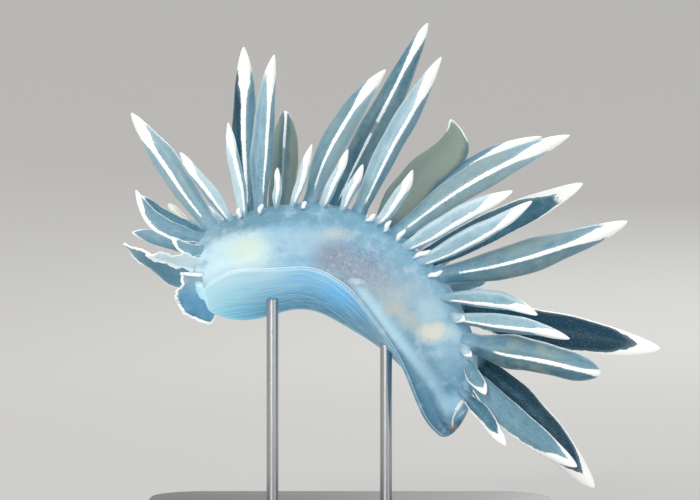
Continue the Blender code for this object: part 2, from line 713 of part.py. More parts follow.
def rod(name, place, sideways, collection):
    # An upright rod whose top is slanted to lie along the sole, a gap below it
    point, _, left, dorsal = frame_at(place)
    point = point + left * sideways - dorsal * (GAP - FOOT_HOLLOW * 0.7)
    low = BASE_HEIGHT + GAP
    work = bmesh.new()
    radius = ROD_DIAMETER / 2 * MM
    bmesh.ops.create_cone(
        work, cap_ends=True, segments=ROD_SEGMENTS, radius1=radius, radius2=radius, depth=MM)
    for vertex in work.verts:
        is_top = vertex.co.z > 0
        fall = (vertex.co.x * dorsal[0] + vertex.co.y * dorsal[1]) / MM
        vertex.co.x += point[0] * MM
        vertex.co.y += point[1] * MM
        vertex.co.z = (point[2] - fall / dorsal[2]) * MM if is_top else low * MM
    mesh = bpy.data.meshes.new(name)
    work.to_mesh(mesh)
    work.free()
    return link(name, mesh, collection)


# Materials

def finish(piece, name):
    colour, roughness, metallic = FINISHES[name]
    material = bpy.data.materials.get(name) or bpy.data.materials.new(name)
    material.use_nodes = True
    shader = material.node_tree.nodes["Principled BSDF"]
    shader.inputs["Base Color"].default_value = (*colour, 1.0)
    shader.inputs["Roughness"].default_value = roughness
    shader.inputs["Metallic"].default_value = metallic
    piece.data.materials.clear()
    piece.data.materials.append(material)
    piece.data.shade_smooth()
    piece.data.set_sharp_from_angle(angle=math.radians(40))


def clear_scene():
    for item in list(bpy.data.objects):
        bpy.data.objects.remove(item)


def main():
    clear_scene()
    model = bpy.data.collections.new("alabaster_nudibranch")
    cutters = bpy.data.collections.new("cutters")
    bpy.context.scene.collection.children.link(model)
    bpy.context.scene.collection.children.link(cutters)

    for name, start, end in BODY_NODES:
        piece = body_loft(name, start, end, model)
        extras = cerata_between(start, end, model)
        if name == "head":
            extras += lips(model)
        fuse(piece, extras)
        finish(piece, "flesh")
    for name, start, end in FOOT_NODES:
        finish(foot_loft(name, start, end, model), "foot")

    seat = body_loft("head_seat", BODY[0][0], HEAD_SEAT_END, cutters, grow=GAP)
    seat.hide_render = True
    seat.display_type = "WIRE"
    for sizes in RHINOPHORES:
        horn = rhinophore(collection=model, **sizes)
        cut(horn, seat)
        finish(horn, "rhinophore")
    lobes = [veil_lobe(collection=model, **sizes) for sizes in VEIL_LOBES] + [veil_front(model)]
    for lobe in lobes:
        cut(lobe, seat)
        finish(lobe, "veil")

    finish(base(model), "base")
    for name, place, sideways in RODS:
        finish(rod(name, place, sideways, model), "rod")
    bpy.context.view_layer.update()


main()
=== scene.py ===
# Alabaster nudibranch, life size, swimming with its cerata fanned out, on a plain display stand
import random

import bpy
import numpy as np
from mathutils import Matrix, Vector


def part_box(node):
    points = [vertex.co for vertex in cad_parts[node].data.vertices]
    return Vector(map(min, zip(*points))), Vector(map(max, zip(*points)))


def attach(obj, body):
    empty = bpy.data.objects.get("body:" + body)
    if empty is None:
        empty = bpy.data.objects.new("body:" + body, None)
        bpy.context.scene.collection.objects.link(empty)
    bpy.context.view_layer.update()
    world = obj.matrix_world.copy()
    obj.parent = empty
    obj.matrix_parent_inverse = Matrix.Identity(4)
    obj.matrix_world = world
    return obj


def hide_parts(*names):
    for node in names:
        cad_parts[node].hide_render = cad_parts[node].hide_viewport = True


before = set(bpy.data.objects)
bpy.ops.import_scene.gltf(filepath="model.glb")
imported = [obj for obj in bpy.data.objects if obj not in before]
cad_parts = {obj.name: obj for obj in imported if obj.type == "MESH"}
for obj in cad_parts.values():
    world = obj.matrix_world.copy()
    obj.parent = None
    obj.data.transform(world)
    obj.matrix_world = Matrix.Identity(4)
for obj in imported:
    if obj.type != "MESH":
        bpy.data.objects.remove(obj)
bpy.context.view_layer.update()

mm = 0.001
print("frame loaded")


# Curves, frames and noise, all in millimetres and on whole arrays

def throughStations(places, values, at):
    # Cubic through the values at the places, level at each peak and dip
    places, values, at = (np.asarray(item, float) for item in (places, values, at))
    rise = np.diff(values) / np.diff(places)
    slope = np.concatenate([rise[:1], (rise[:-1] + rise[1:]) / 2, rise[-1:]])
    slope[1:-1][rise[:-1] * rise[1:] <= 0] = 0
    index = np.clip(np.searchsorted(places, at, side="right") - 1, 0, len(places) - 2)
    span = places[index + 1] - places[index]
    share = np.clip((at - places[index]) / span, 0, 1)
    height = values[index] + share**2 * (3 - 2 * share) * (values[index + 1] - values[index])
    bendIn = share * (1 - share) ** 2 * span * slope[index]
    bendOut = share**2 * (share - 1) * span * slope[index + 1]
    return height + bendIn + bendOut


def fade(low, high, at):
    # Smooth step from 0 at low to 1 at high
    share = np.clip((np.asarray(at, float) - low) / (high - low), 0, 1)
    return share * share * (3 - 2 * share)


def mixed(first, second, share):
    return first + (second - first) * share


def signedPower(wave, power):
    return np.sign(wave) * np.abs(wave) ** power


def unit(vectors):
    return vectors / np.linalg.norm(vectors, axis=-1, keepdims=True)


def crossed(first, second):
    # Two grids of every pairing, the first down the rows and the second along them
    return np.meshgrid(first, second, indexing="ij")


def lumps(points, size, seed):
    # Soft lumps from -1 to 1: a random height at each corner of a grid of that size, blended by a cubic
    cell = points / size + seed * 17.3
    corner = np.floor(cell).astype(np.int64)
    share = cell - corner
    share = share * share * (3 - 2 * share)
    total = np.zeros(points.shape[:-1])
    for x, y, z in np.ndindex(2, 2, 2):
        step = np.array([x, y, z])
        key = ((corner + step) * np.array([73856093, 19349663, 83492791])).sum(-1) & 0x7FFFFFFF
        key = ((key ^ (key >> 13)) * 1274126177) & 0x7FFFFFFF
        height = (key >> 8) % 4096 / 2048 - 1
        total += height * np.prod(np.where(step == 1, share, 1 - share), axis=-1)
    return total


solePath = dict(
    length=78.5,
    start=(-37.0, 56.3),          # x and z of its front end
    slopePlaces=(0.0, 0.15, 0.29, 0.37, 0.45, 0.62, 0.80, 0.92, 1.0),
    slopes=(4.0, 7.0, 5.0, -19.0, -37.0, -45.0, -59.0, -52.0, -40.0),
    bankPlaces=(0.0, 0.32, 0.45, 0.58, 0.74, 0.85, 0.93, 1.0),
    banks=(30.0, 30.0, 24.0, 13.0, 0.0, -12.0, -26.0, -38.0),
    steps=400)


def bodyFrames(places):
    # At each place: the point on the sole's middle line, which is the sum of its slopes in short steps, and
    # the unit vectors backwards, to the animal's left and up its back
    places = np.asarray(places, float)
    stations = np.linspace(0, 1, solePath["steps"] + 1)
    slopes = np.radians(throughStations(solePath["slopePlaces"], solePath["slopes"], stations))
    middles = (slopes[1:] + slopes[:-1]) / 2
    step = solePath["length"] / solePath["steps"]
    xs = solePath["start"][0] + np.concatenate([[0], np.cumsum(np.cos(middles) * step)])
    zs = solePath["start"][1] + np.concatenate([[0], np.cumsum(np.sin(middles) * step)])
    inside = np.clip(places, 0, 1)
    slope = np.interp(inside, stations, slopes)
    bank = np.radians(throughStations(solePath["bankPlaces"], solePath["banks"], inside))[..., None]
    zero = np.zeros_like(slope)
    backwards = np.stack([np.cos(slope), zero, np.sin(slope)], -1)
    upright = np.stack([-np.sin(slope), zero, np.cos(slope)], -1)
    across = np.stack([zero, zero + 1, zero], -1)
    point = np.stack([np.interp(inside, stations, xs), zero, np.interp(inside, stations, zs)], -1)
    point = point + backwards * ((places - inside) * solePath["length"])[..., None]
    left = upright * np.sin(bank) - across * np.cos(bank)
    dorsal = upright * np.cos(bank) + across * np.sin(bank)
    return point, backwards, left, dorsal


def inFrame(place, along, sideways, height):
    # World point at a place, moved back, to the left and up from the sole
    point, backwards, left, dorsal = bodyFrames(place)
    along, sideways, height = (np.asarray(item, float)[..., None] for item in (along, sideways, height))
    return point + backwards * along + left * sideways + dorsal * height


def heading(turn, lean):
    # Unit vector at an angle in the XZ plane, anticlockwise from +X, leaning away from the viewer
    turn, lean = np.radians(turn), np.radians(lean)
    return np.array([np.cos(turn) * np.cos(lean), np.sin(lean), np.sin(turn) * np.cos(lean)])


def leafAxes(turn, lean):
    # Unit vectors along a leaf's length and, square to it, away from the viewer
    along = heading(turn, lean)
    away = np.array([0.0, 1.0, 0.0])
    return along, unit(away - along * (away @ along))


# Surfaces: each is a grid of points, its faces and the marks that its material reads

def ringQuads(rows, sides):
    row, side = crossed(np.arange(rows - 1), np.arange(sides))
    here, after = row * sides + side, row * sides + (side + 1) % sides
    return np.stack([here, after, after + sides, here + sides], -1).reshape(-1, 4)


def tubeSurface(rings, startPole, endPole, marks):
    # Rings joined by quads and closed round, each end by a fan to its pole; a mark has a value per point
    rows, sides = rings.shape[:2]
    points = np.concatenate([rings.reshape(-1, 3), [startPole], [endPole]])
    edge = np.arange(sides)
    following = (edge + 1) % sides
    last = (rows - 1) * sides
    startFan = np.stack([following, edge, np.full(sides, rows * sides)], -1)
    endFan = np.stack([last + edge, last + following, np.full(sides, rows * sides + 1)], -1)
    marks = {name: np.concatenate([value.reshape(-1, 3), value[0].mean(0)[None], value[-1].mean(0)[None]])
             for name, value in marks.items()}
    return facingOut(dict(points=points, faces=[ringQuads(rows, sides), startFan, endFan], marks=marks))


def facingOut(surface):
    # Six times the volume inside is the sum of a . (b x c) over its triangles; below nought it is turned
    volume = 0
    for faces in surface["faces"]:
        corners = surface["points"][faces]
        for k in range(1, faces.shape[1] - 1):
            volume += (corners[:, 0] * np.cross(corners[:, k], corners[:, k + 1])).sum()
    if volume < 0:
        surface["faces"] = [faces[:, ::-1] for faces in surface["faces"]]
    return surface


def sheetSurface(middle, half, marks):
    # A thin closed sheet round a grid of middle points: the upper face, a half round rim and the lower face
    # are offsets of the grid along its normal and outward, so each row of it goes once round the sheet
    downRows = np.gradient(middle, axis=0)
    downColumns = np.gradient(middle, axis=1)
    normal = unit(np.cross(downRows, downColumns))
    outward = unit(downColumns[:, -1])
    inward = -unit(downColumns[:, 0])
    turns = np.linspace(np.pi / 2, -np.pi / 2, veilShape["rimSteps"] + 2)[1:-1]
    parts, markParts = [], {name: [] for name in marks}

    def addPart(points, columns):
        parts.append(points)
        for name, value in marks.items():
            markParts[name].append(value[:, columns])

    every = np.arange(middle.shape[1])
    addPart(middle + normal * half[..., None], every)
    for turn in turns:
        reach = half[:, -1][:, None] * (normal[:, -1] * np.sin(turn) + outward * np.cos(turn))
        addPart((middle[:, -1] + reach)[:, None], every[-1:])
    addPart((middle - normal * half[..., None])[:, ::-1], every[::-1])
    for turn in turns[::-1]:
        reach = half[:, 0][:, None] * (normal[:, 0] * np.sin(turn) + inward * np.cos(turn))
        addPart((middle[:, 0] + reach)[:, None], every[:1])
    rings = np.concatenate(parts, axis=1)
    joined = {name: np.concatenate(value, axis=1) for name, value in markParts.items()}
    beyond = unit(middle[-1] - middle[-2]).mean(0) * half[-1].mean()
    return tubeSurface(rings, rings[0].mean(0), middle[-1].mean(0) + beyond, joined)


def addPiece(name, surfaces, material, replaced=()):
    # One object from several surfaces, in metres, with its marks as point attributes
    points = np.concatenate([surface["points"] for surface in surfaces])
    faces, start = [], 0
    for surface in surfaces:
        for group in surface["faces"]:
            faces += (group + start).tolist()
        start += len(surface["points"])
    mesh = bpy.data.meshes.new(name)
    mesh.from_pydata((points * mm).tolist(), [], faces)
    for mark in surfaces[0]["marks"]:
        values = np.concatenate([surface["marks"][mark] for surface in surfaces])
        attribute = mesh.attributes.new(mark, "FLOAT_VECTOR", "POINT")
        attribute.data.foreach_set("vector", values.astype(np.float32).ravel())
    mesh.shade_smooth()
    mesh.materials.append(material)
    piece = bpy.data.objects.new(name, mesh)
    bpy.context.scene.collection.objects.link(piece)
    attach(piece, "root")
    if replaced:
        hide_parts(*replaced)
    print(name, len(points), "points")
    return piece


# Shader maths as expressions

class Value:
    # One output of a node; sums, differences and products of it add Math nodes
    def __init__(self, finish, socket):
        self.finish = finish
        self.socket = socket

    def maths(self, operation, first, second):
        return self.finish.add("Math", {"operation": operation}, {0: first, 1: second})

    def __add__(self, other):
        return self.maths("ADD", self, other)

    def __sub__(self, other):
        return self.maths("SUBTRACT", self, other)

    def __rsub__(self, other):
        return self.maths("SUBTRACT", other, self)

    def __mul__(self, other):
        return self.maths("MULTIPLY", self, other)

    __radd__ = __add__
    __rmul__ = __mul__


def tint(red, green, blue):
    # Colour from 0 to 255 as a screen shows it, made linear for the shader
    shares = np.array([red, green, blue]) / 255
    linear = np.where(shares < 0.04045, shares / 12.92, ((shares + 0.055) / 1.055) ** 2.4)
    return (*linear.tolist(), 1.0)


class Finish:
    # A material under construction
    def __init__(self, name):
        self.material = bpy.data.materials.new(name)
        self.material.use_nodes = True
        self.tree = self.material.node_tree
        self.tree.nodes.clear()

    def add(self, kind, settings=None, inputs=None, output=0):
        # Any node: its type, its settings, and the values or links of its sockets
        node = self.tree.nodes.new("ShaderNode" + kind)
        for name, value in (settings or {}).items():
            setattr(node, name, value)
        for name, value in (inputs or {}).items():
            if isinstance(value, Value):
                self.tree.links.new(value.socket, node.inputs[name])
            else:
                node.inputs[name].default_value = value
        return Value(self, node.outputs[output])

    def place(self):
        # Object coordinates in millimetres
        coords = self.add("TexCoord", output="Object")
        return self.vectorMath("SCALE", {0: coords, "Scale": 1 / mm})

    def mark(self, name):
        # The three numbers of a point attribute
        vector = self.add("Attribute", {"attribute_name": name}, output="Vector")
        return [self.add("SeparateXYZ", None, {0: vector}, axis) for axis in range(3)]

    def join(self, x, y, z):
        return self.add("CombineXYZ", None, {0: x, 1: y, 2: z})

    def noise(self, vector, scale, detail=3.0, roughness=0.5):
        inputs = {"Vector": vector, "Scale": scale, "Detail": detail, "Roughness": roughness}
        return self.add("TexNoise", None, inputs)

    def fade(self, value, low, high):
        # Smooth step from 0 at low to 1 at high
        inputs = {"Value": value, "From Min": low, "From Max": high}
        return self.add("MapRange", {"interpolation_type": "SMOOTHSTEP"}, inputs)

    def blend(self, share, first, second):
        return self.add("Mix", {"data_type": "RGBA"}, {0: share, 6: first, 7: second}, 2)

    def ramp(self, value, *stops):
        # Colours by a value: each stop is its position, then red, green and blue
        colours = self.add("ValToRGB", None, {0: value})
        elements = colours.socket.node.color_ramp.elements
        while len(elements) < len(stops):
            elements.new(1.0)
        for element, (position, *hue) in zip(elements, stops):
            element.position = position
            element.color = tint(*hue)
        return colours

    def paint(self, colour, *layers):
        # Layers over a colour, one after another, each as its share and its own colour
        for share, hue in layers:
            colour = self.blend(share, colour, tint(*hue))
        return colour

    def vectorMath(self, operation, inputs, output=0):
        return self.add("VectorMath", {"operation": operation}, inputs, output)

    def most(self, first, second):
        return self.add("Math", {"operation": "MAXIMUM"}, {0: first, 1: second})

    def glow(self, place, centre, sizes, rough):
        # Soft patch: 1 at its centre to 0 at its ragged edge, an ellipsoid by its three half sizes
        offset = self.vectorMath("SUBTRACT", {0: place, 1: centre})
        scaled = self.vectorMath("DIVIDE", {0: offset, 1: sizes})
        distance = self.vectorMath("LENGTH", {0: scaled}, "Value")
        return self.fade(distance + rough, 1.25, 0.35)

    def fromLine(self, place, first, last):
        # Distance in millimetres from the straight line between two points: the share along it is a dot
        # product, kept between its ends
        along = np.array(last) - np.array(first)
        offset = self.vectorMath("SUBTRACT", {0: place, 1: first})
        perLength = tuple((along / (along @ along)).tolist())
        share = self.vectorMath("DOT_PRODUCT", {0: offset, 1: perLength}, "Value")
        inside = self.add("Clamp", None, {"Value": share})
        nearest = self.vectorMath("SCALE", {0: tuple(along.tolist()), "Scale": inside})
        return self.vectorMath("DISTANCE", {0: offset, 1: nearest}, "Value")

    def cover(self, links, constants):
        # The Principled shader, its varying sockets linked and its constants set on it
        bsdf = self.tree.nodes.new("ShaderNodeBsdfPrincipled")
        for name, value in links.items():
            self.tree.links.new(value.socket, bsdf.inputs[name])
        for name, value in constants.items():
            bsdf.inputs[name].default_value = value
        output = self.tree.nodes.new("ShaderNodeOutputMaterial")
        self.tree.links.new(bsdf.outputs[0], output.inputs[0])
        return self.material

    def bump(self, height, distance, strength):
        return self.add("Bump", None, {"Height": height, "Distance": distance * mm, "Strength": strength})


wetFlesh = {
    "Subsurface Weight": 0.18,
    "Subsurface Radius": (0.7, 0.9, 1.0),
    "Subsurface Scale": 0.0015,
    "Coat Weight": 0.10,
    "Coat Roughness": 0.20,
    "IOR": 1.34,
    "Sheen Weight": 0.28,
    "Sheen Roughness": 0.24,
    "Sheen Tint": (0.85, 0.95, 1.0, 1.0),
    # Emission Strength: a painted glow that lifts the shade of every flesh using these constants
    "Emission Strength": 0.40}
whiteLine = tint(250, 252, 250)
unlit = (0.0, 0.0, 0.0, 1.0)


# The skin: body and foot as one closed loft

bodyShape = dict(
    # place, top, half width and underside above the sole
    stations=(
        (0.0, 16.2, 6.4, 2.2), (0.04, 18.8, 7.6, 2.1), (0.10, 21.0, 8.6, 2.1), (0.18, 22.2, 9.3, 2.1),
        (0.31, 23.0, 9.6, 2.1), (0.44, 24.0, 9.8, 2.1), (0.55, 23.4, 9.4, 2.1), (0.65, 22.0, 8.6, 2.1),
        (0.74, 20.0, 7.6, 2.1), (0.83, 17.2, 6.2, 2.1), (0.90, 14.4, 4.8, 2.1), (0.96, 10.8, 3.3, 2.1),
        (0.99, 6.6, 1.7, 2.0)),
    footPlaces=(0.0, 0.01, 0.04, 0.09, 0.15, 0.20, 0.26, 0.31, 0.45, 0.56, 0.70, 0.85, 0.94, 0.98, 1.0),
    footWidths=(1.6, 4.6, 8.5, 11.7, 12.8, 12.0, 10.8, 10.6, 10.6, 10.4, 9.2, 7.2, 4.8, 3.1, 1.2),
    footHollow=0.4,
    footRim=0.9,                  # thickness of the margin
    footStart=(0.0, 0.018),       # places between which the foot comes out of the chin
    backPower=2.5,                # powers of the superellipses
    flankPower=4.5,
    noseReach=0.0262,             # how far the snout passes the sole's front end, as a share of the sole
    noseCentre=8.9,
    tailStart=0.965,
    tailReach=0.036,
    tailCentre=2.6,
    runs=(0.20, 0.27, 0.42, 0.56),    # shares of the half outline where the rim, skirt, flank and back begin
    noseRows=22,
    tailRows=20,
    frontRows=60,                 # closer rows as far as this place, and closest at the front
    frontEnd=0.12,
    frontPower=1.4,
    rows=330,
    halfColumns=96)


def sectionStations(place):
    # Top, half width and underside of the body at each place
    places, *columns = zip(*bodyShape["stations"])
    return [throughStations(places, column, place) for column in columns]


def halfOutline(place, run):
    # Sideways and height of half the skin's section, for each place and each run from the sole's middle
    # line (0) to the back (1): a hollow sole, a half round rim, a skirt that is a cubic Bezier up to the
    # flank, and superellipses for the flank and the back
    shape = bodyShape
    top, half, under = (values[:, None] for values in sectionStations(place))
    foot = throughStations(shape["footPlaces"], shape["footWidths"], place)[:, None]
    out = fade(*shape["footStart"], place)[:, None]
    rimStart, skirtStart, flankStart, backStart = shape["runs"]
    floor = under * (1 - out)
    middle = (top + under) / 2
    margin = mixed(half * 0.62, foot, out)
    radius = np.minimum(mixed(1.6, shape["footRim"], out), margin * 0.4) / 2
    knee = floor + (middle - floor) * 0.42
    run = run[None, :]

    def flankAt(height):
        drop = np.clip((middle - height) / (middle - under), 0, 1)
        return half * (1 - drop ** shape["flankPower"]) ** (1 / shape["flankPower"])

    soleShare = np.clip(run / rimStart, 0, 1)
    soleSide = (margin - radius) * soleShare
    soleHeight = floor + shape["footHollow"] * out * (1 - soleShare**2)
    rimTurn = np.pi * (np.clip((run - rimStart) / (skirtStart - rimStart), 0, 1) - 0.5)
    rimSide = margin - radius + radius * np.cos(rimTurn)
    rimHeight = floor + radius + radius * np.sin(rimTurn)
    share = np.clip((run - skirtStart) / (flankStart - skirtStart), 0, 1)
    kneeSide = flankAt(knee)
    sides = (margin - radius, mixed(margin - radius, kneeSide, 0.55), kneeSide - (half - kneeSide), kneeSide)
    heights = (floor + 2 * radius, floor + 2 * radius + 0.3, mixed(floor + 2 * radius, knee, 0.5), knee)
    weights = ((1 - share) ** 3, 3 * share * (1 - share) ** 2, 3 * share**2 * (1 - share), share**3)
    skirtSide = sum(weight * side for weight, side in zip(weights, sides))
    skirtHeight = sum(weight * height for weight, height in zip(weights, heights))
    flankHeight = mixed(knee, middle, np.clip((run - flankStart) / (backStart - flankStart), 0, 1))
    flankSide = flankAt(flankHeight)
    backTurn = np.pi / 2 * np.clip((run - backStart) / (1 - backStart), 0, 1)
    backSide = half * signedPower(np.cos(backTurn), 2 / shape["backPower"])
    backHeight = middle + (top - middle) * signedPower(np.sin(backTurn), 2 / shape["backPower"])
    zones = [run < rimStart, run < skirtStart, run < flankStart, run < backStart]
    zones = [np.broadcast_to(zone, soleSide.shape) for zone in zones]
    side = np.select(zones, [soleSide, rimSide, skirtSide, flankSide], backSide)
    height = np.select(zones, [soleHeight, rimHeight, skirtHeight, flankHeight], backHeight)
    return side, height


def skinPoint(place, row):
    # Where the skin's section has that angle from the animal's left, 90 at the back
    top, half, under = sectionStations(place)
    if place < 0:
        shrink = np.sqrt(1 - (place / bodyShape["noseReach"]) ** 2)
        top, half, under = (mixed(bodyShape["noseCentre"], top, shrink), half * shrink, under)
    middle = (top + under) / 2
    angle = np.radians(row)
    side = half * signedPower(np.cos(angle), 2 / bodyShape["backPower"])
    height = middle + (top - middle) * signedPower(np.sin(angle), 2 / bodyShape["backPower"])
    return inFrame(place, 0.0, side, height)


def skinGrid():
    # Points of the skin by place along and run around, rounded off to a pole at the snout and the tail, with
    # the place, run and side of each
    shape = bodyShape
    noseTurns = np.linspace(0, np.pi / 2, shape["noseRows"], endpoint=False)[1:]
    nose = -shape["noseReach"] * np.cos(noseTurns)
    tailTurns = np.linspace(0, np.pi / 2, shape["tailRows"])[1:-1]
    tail = shape["tailStart"] + shape["tailReach"] * np.sin(tailTurns)
    front = shape["frontEnd"] * np.linspace(0, 1, shape["frontRows"]) ** shape["frontPower"]
    body = np.linspace(shape["frontEnd"], shape["tailStart"], shape["rows"] - shape["frontRows"])[1:]
    places = np.concatenate([nose, front, body, tail])
    shrink = np.ones_like(places)
    shrink[:len(nose)] = np.sin(noseTurns)
    shrink[-len(tail):] = np.cos(tailTurns)
    centre = np.where(places < 0.5, shape["noseCentre"], shape["tailCentre"])[:, None]
    half = np.linspace(0, 1, shape["halfColumns"] + 1)
    run = np.concatenate([half, half[-2:0:-1]])
    sign = np.where(np.arange(len(run)) <= shape["halfColumns"], 1.0, -1.0)
    side, height = halfOutline(np.clip(places, 0, shape["tailStart"]), run)
    side = side * shrink[:, None]
    height = centre + (height - centre) * shrink[:, None]
    across = np.broadcast_to(places[:, None], side.shape)
    points = inFrame(across, 0.0, side * sign, height)
    marks = np.stack([across, np.broadcast_to(run, side.shape), side * sign / 12], -1)
    return points, marks, shrink


skinRelief = dict(
    broad=0.16,                   # heights and sizes of the broad and the small lumps
    broadSize=6.5,
    small=0.05,
    smallSize=2.4,
    rootHeight=0.040,             # swelling round a root, for each millimetre of its leaf's width
    rootReach=0.5,
    wrinkle=0.07,                 # wrinkles of the sole, and how many there are along and across it
    wrinklesAlong=12,
    wrinklesAcross=9)


def skinSurface(roots):
    # The skin with soft lumps along its normal, a low swelling round each root, and wrinkles on the sole
    points, marks, shrink = skinGrid()
    around = np.roll(points, -1, axis=1) - np.roll(points, 1, axis=1)
    normal = np.cross(around, np.gradient(points, axis=0))
    normal = normal / (np.linalg.norm(normal, axis=-1, keepdims=True) + 1e-9)
    outward = np.sign((normal[:, bodyShape["halfColumns"]] * bodyFrames(marks[:, 0, 0])[3]).sum(-1).mean())
    run = marks[..., 1]
    above = fade(0.27, 0.50, run)
    relief = skinRelief
    broad = relief["broad"] * lumps(points, relief["broadSize"], 1)
    rise = (broad + relief["small"] * lumps(points, relief["smallSize"], 2)) * above
    for root, size in roots:
        distance = np.linalg.norm(points - root, axis=-1)
        swelling = np.exp(-((distance / (relief["rootReach"] * size)) ** 2))
        rise = rise + relief["rootHeight"] * size * swelling * above
    along, across = marks[..., 0] * relief["wrinklesAlong"], marks[..., 2] * relief["wrinklesAcross"]
    wrinkles = lumps(np.stack([along, across, 0 * run], -1), 1.0, 3)
    rise = rise + relief["wrinkle"] * wrinkles * (1 - fade(0.15, 0.20, run))
    rise = rise * fade(0.0, 0.5, shrink)[:, None]
    points = points + normal * (outward * rise)[..., None]
    frames = bodyFrames(np.array([-bodyShape["noseReach"], bodyShape["tailStart"] + bodyShape["tailReach"]]))
    nosePole = frames[0][0] + frames[3][0] * bodyShape["noseCentre"]
    tailPole = frames[0][1] + frames[3][1] * bodyShape["tailCentre"]
    return tubeSurface(points, nosePole, tailPole, dict(skinRun=marks))


glands = (
    # centre, half sizes, colour and strength of what shows through the flank, and of one painted highlight
    ((-27.0, -9.0, 69.0), (10.5, 12.0, 7.0), (206, 228, 230), 0.75),       # pale gland in the head
    ((-25.5, -9.0, 69.5), (6.0, 12.0, 4.5), (212, 226, 208), 0.66),        # its yellow middle
    ((-11.0, -9.0, 71.5), (9.0, 12.0, 4.6), (176, 206, 222), 0.60),
    ((-3.0, -9.0, 73.0), (6.0, 12.0, 2.2), (208, 210, 200), 0.60),         # pale rim over the gut
    ((-4.0, -9.0, 67.8), (6.5, 12.0, 4.6), (142, 148, 166), 0.80),         # mauve gut
    ((2.0, -9.0, 64.0), (6.0, 12.0, 4.6), (150, 158, 174), 0.75),
    ((7.5, -9.0, 60.0), (5.4, 12.0, 4.4), (160, 170, 182), 0.70),
    ((12.0, -9.0, 57.5), (6.0, 12.0, 3.6), (172, 188, 196), 0.60),
    ((10.8, -9.0, 54.6), (3.8, 10.0, 2.4), (194, 188, 174), 0.55),         # orange glands behind it
    ((14.6, -9.0, 51.6), (3.4, 10.0, 2.6), (200, 196, 184), 0.50),
    ((20.4, -9.0, 48.8), (4.6, 10.0, 2.9), (222, 218, 206), 0.85),
    ((19.5, -9.0, 54.5), (4.2, 10.0, 3.6), (182, 212, 222), 0.50),         # pale flesh above them
    ((1.7, -6.8, 61.2), (2.2, 3.0, 0.9), (226, 242, 250), 0.45),           # painted highlight on the fold over the foot
    ((26.2, -7.4, 30.6), (4.6, 5.0, 3.6), (168, 214, 240), 0.80))          # glow beside the tail's crest
crestLine = (
    # points of the white line up the tail's crest
    (28.9, -7.7, 32.5), (27.4, -8.0, 31.3), (26.3, -7.4, 29.6), (25.4, -5.8, 27.1), (25.4, -4.6, 25.0))
whiteDots = (
    # centre and radius of small white points on the skin
    ((20.7, -9.0, 58.0), 0.75), ((-4.9, -9.0, 78.0), 0.5), ((-0.2, -9.0, 76.5), 0.6),
    ((-35.5, -4.0, 72.0), 0.5), ((-30.0, -8.0, 69.3), 0.45))


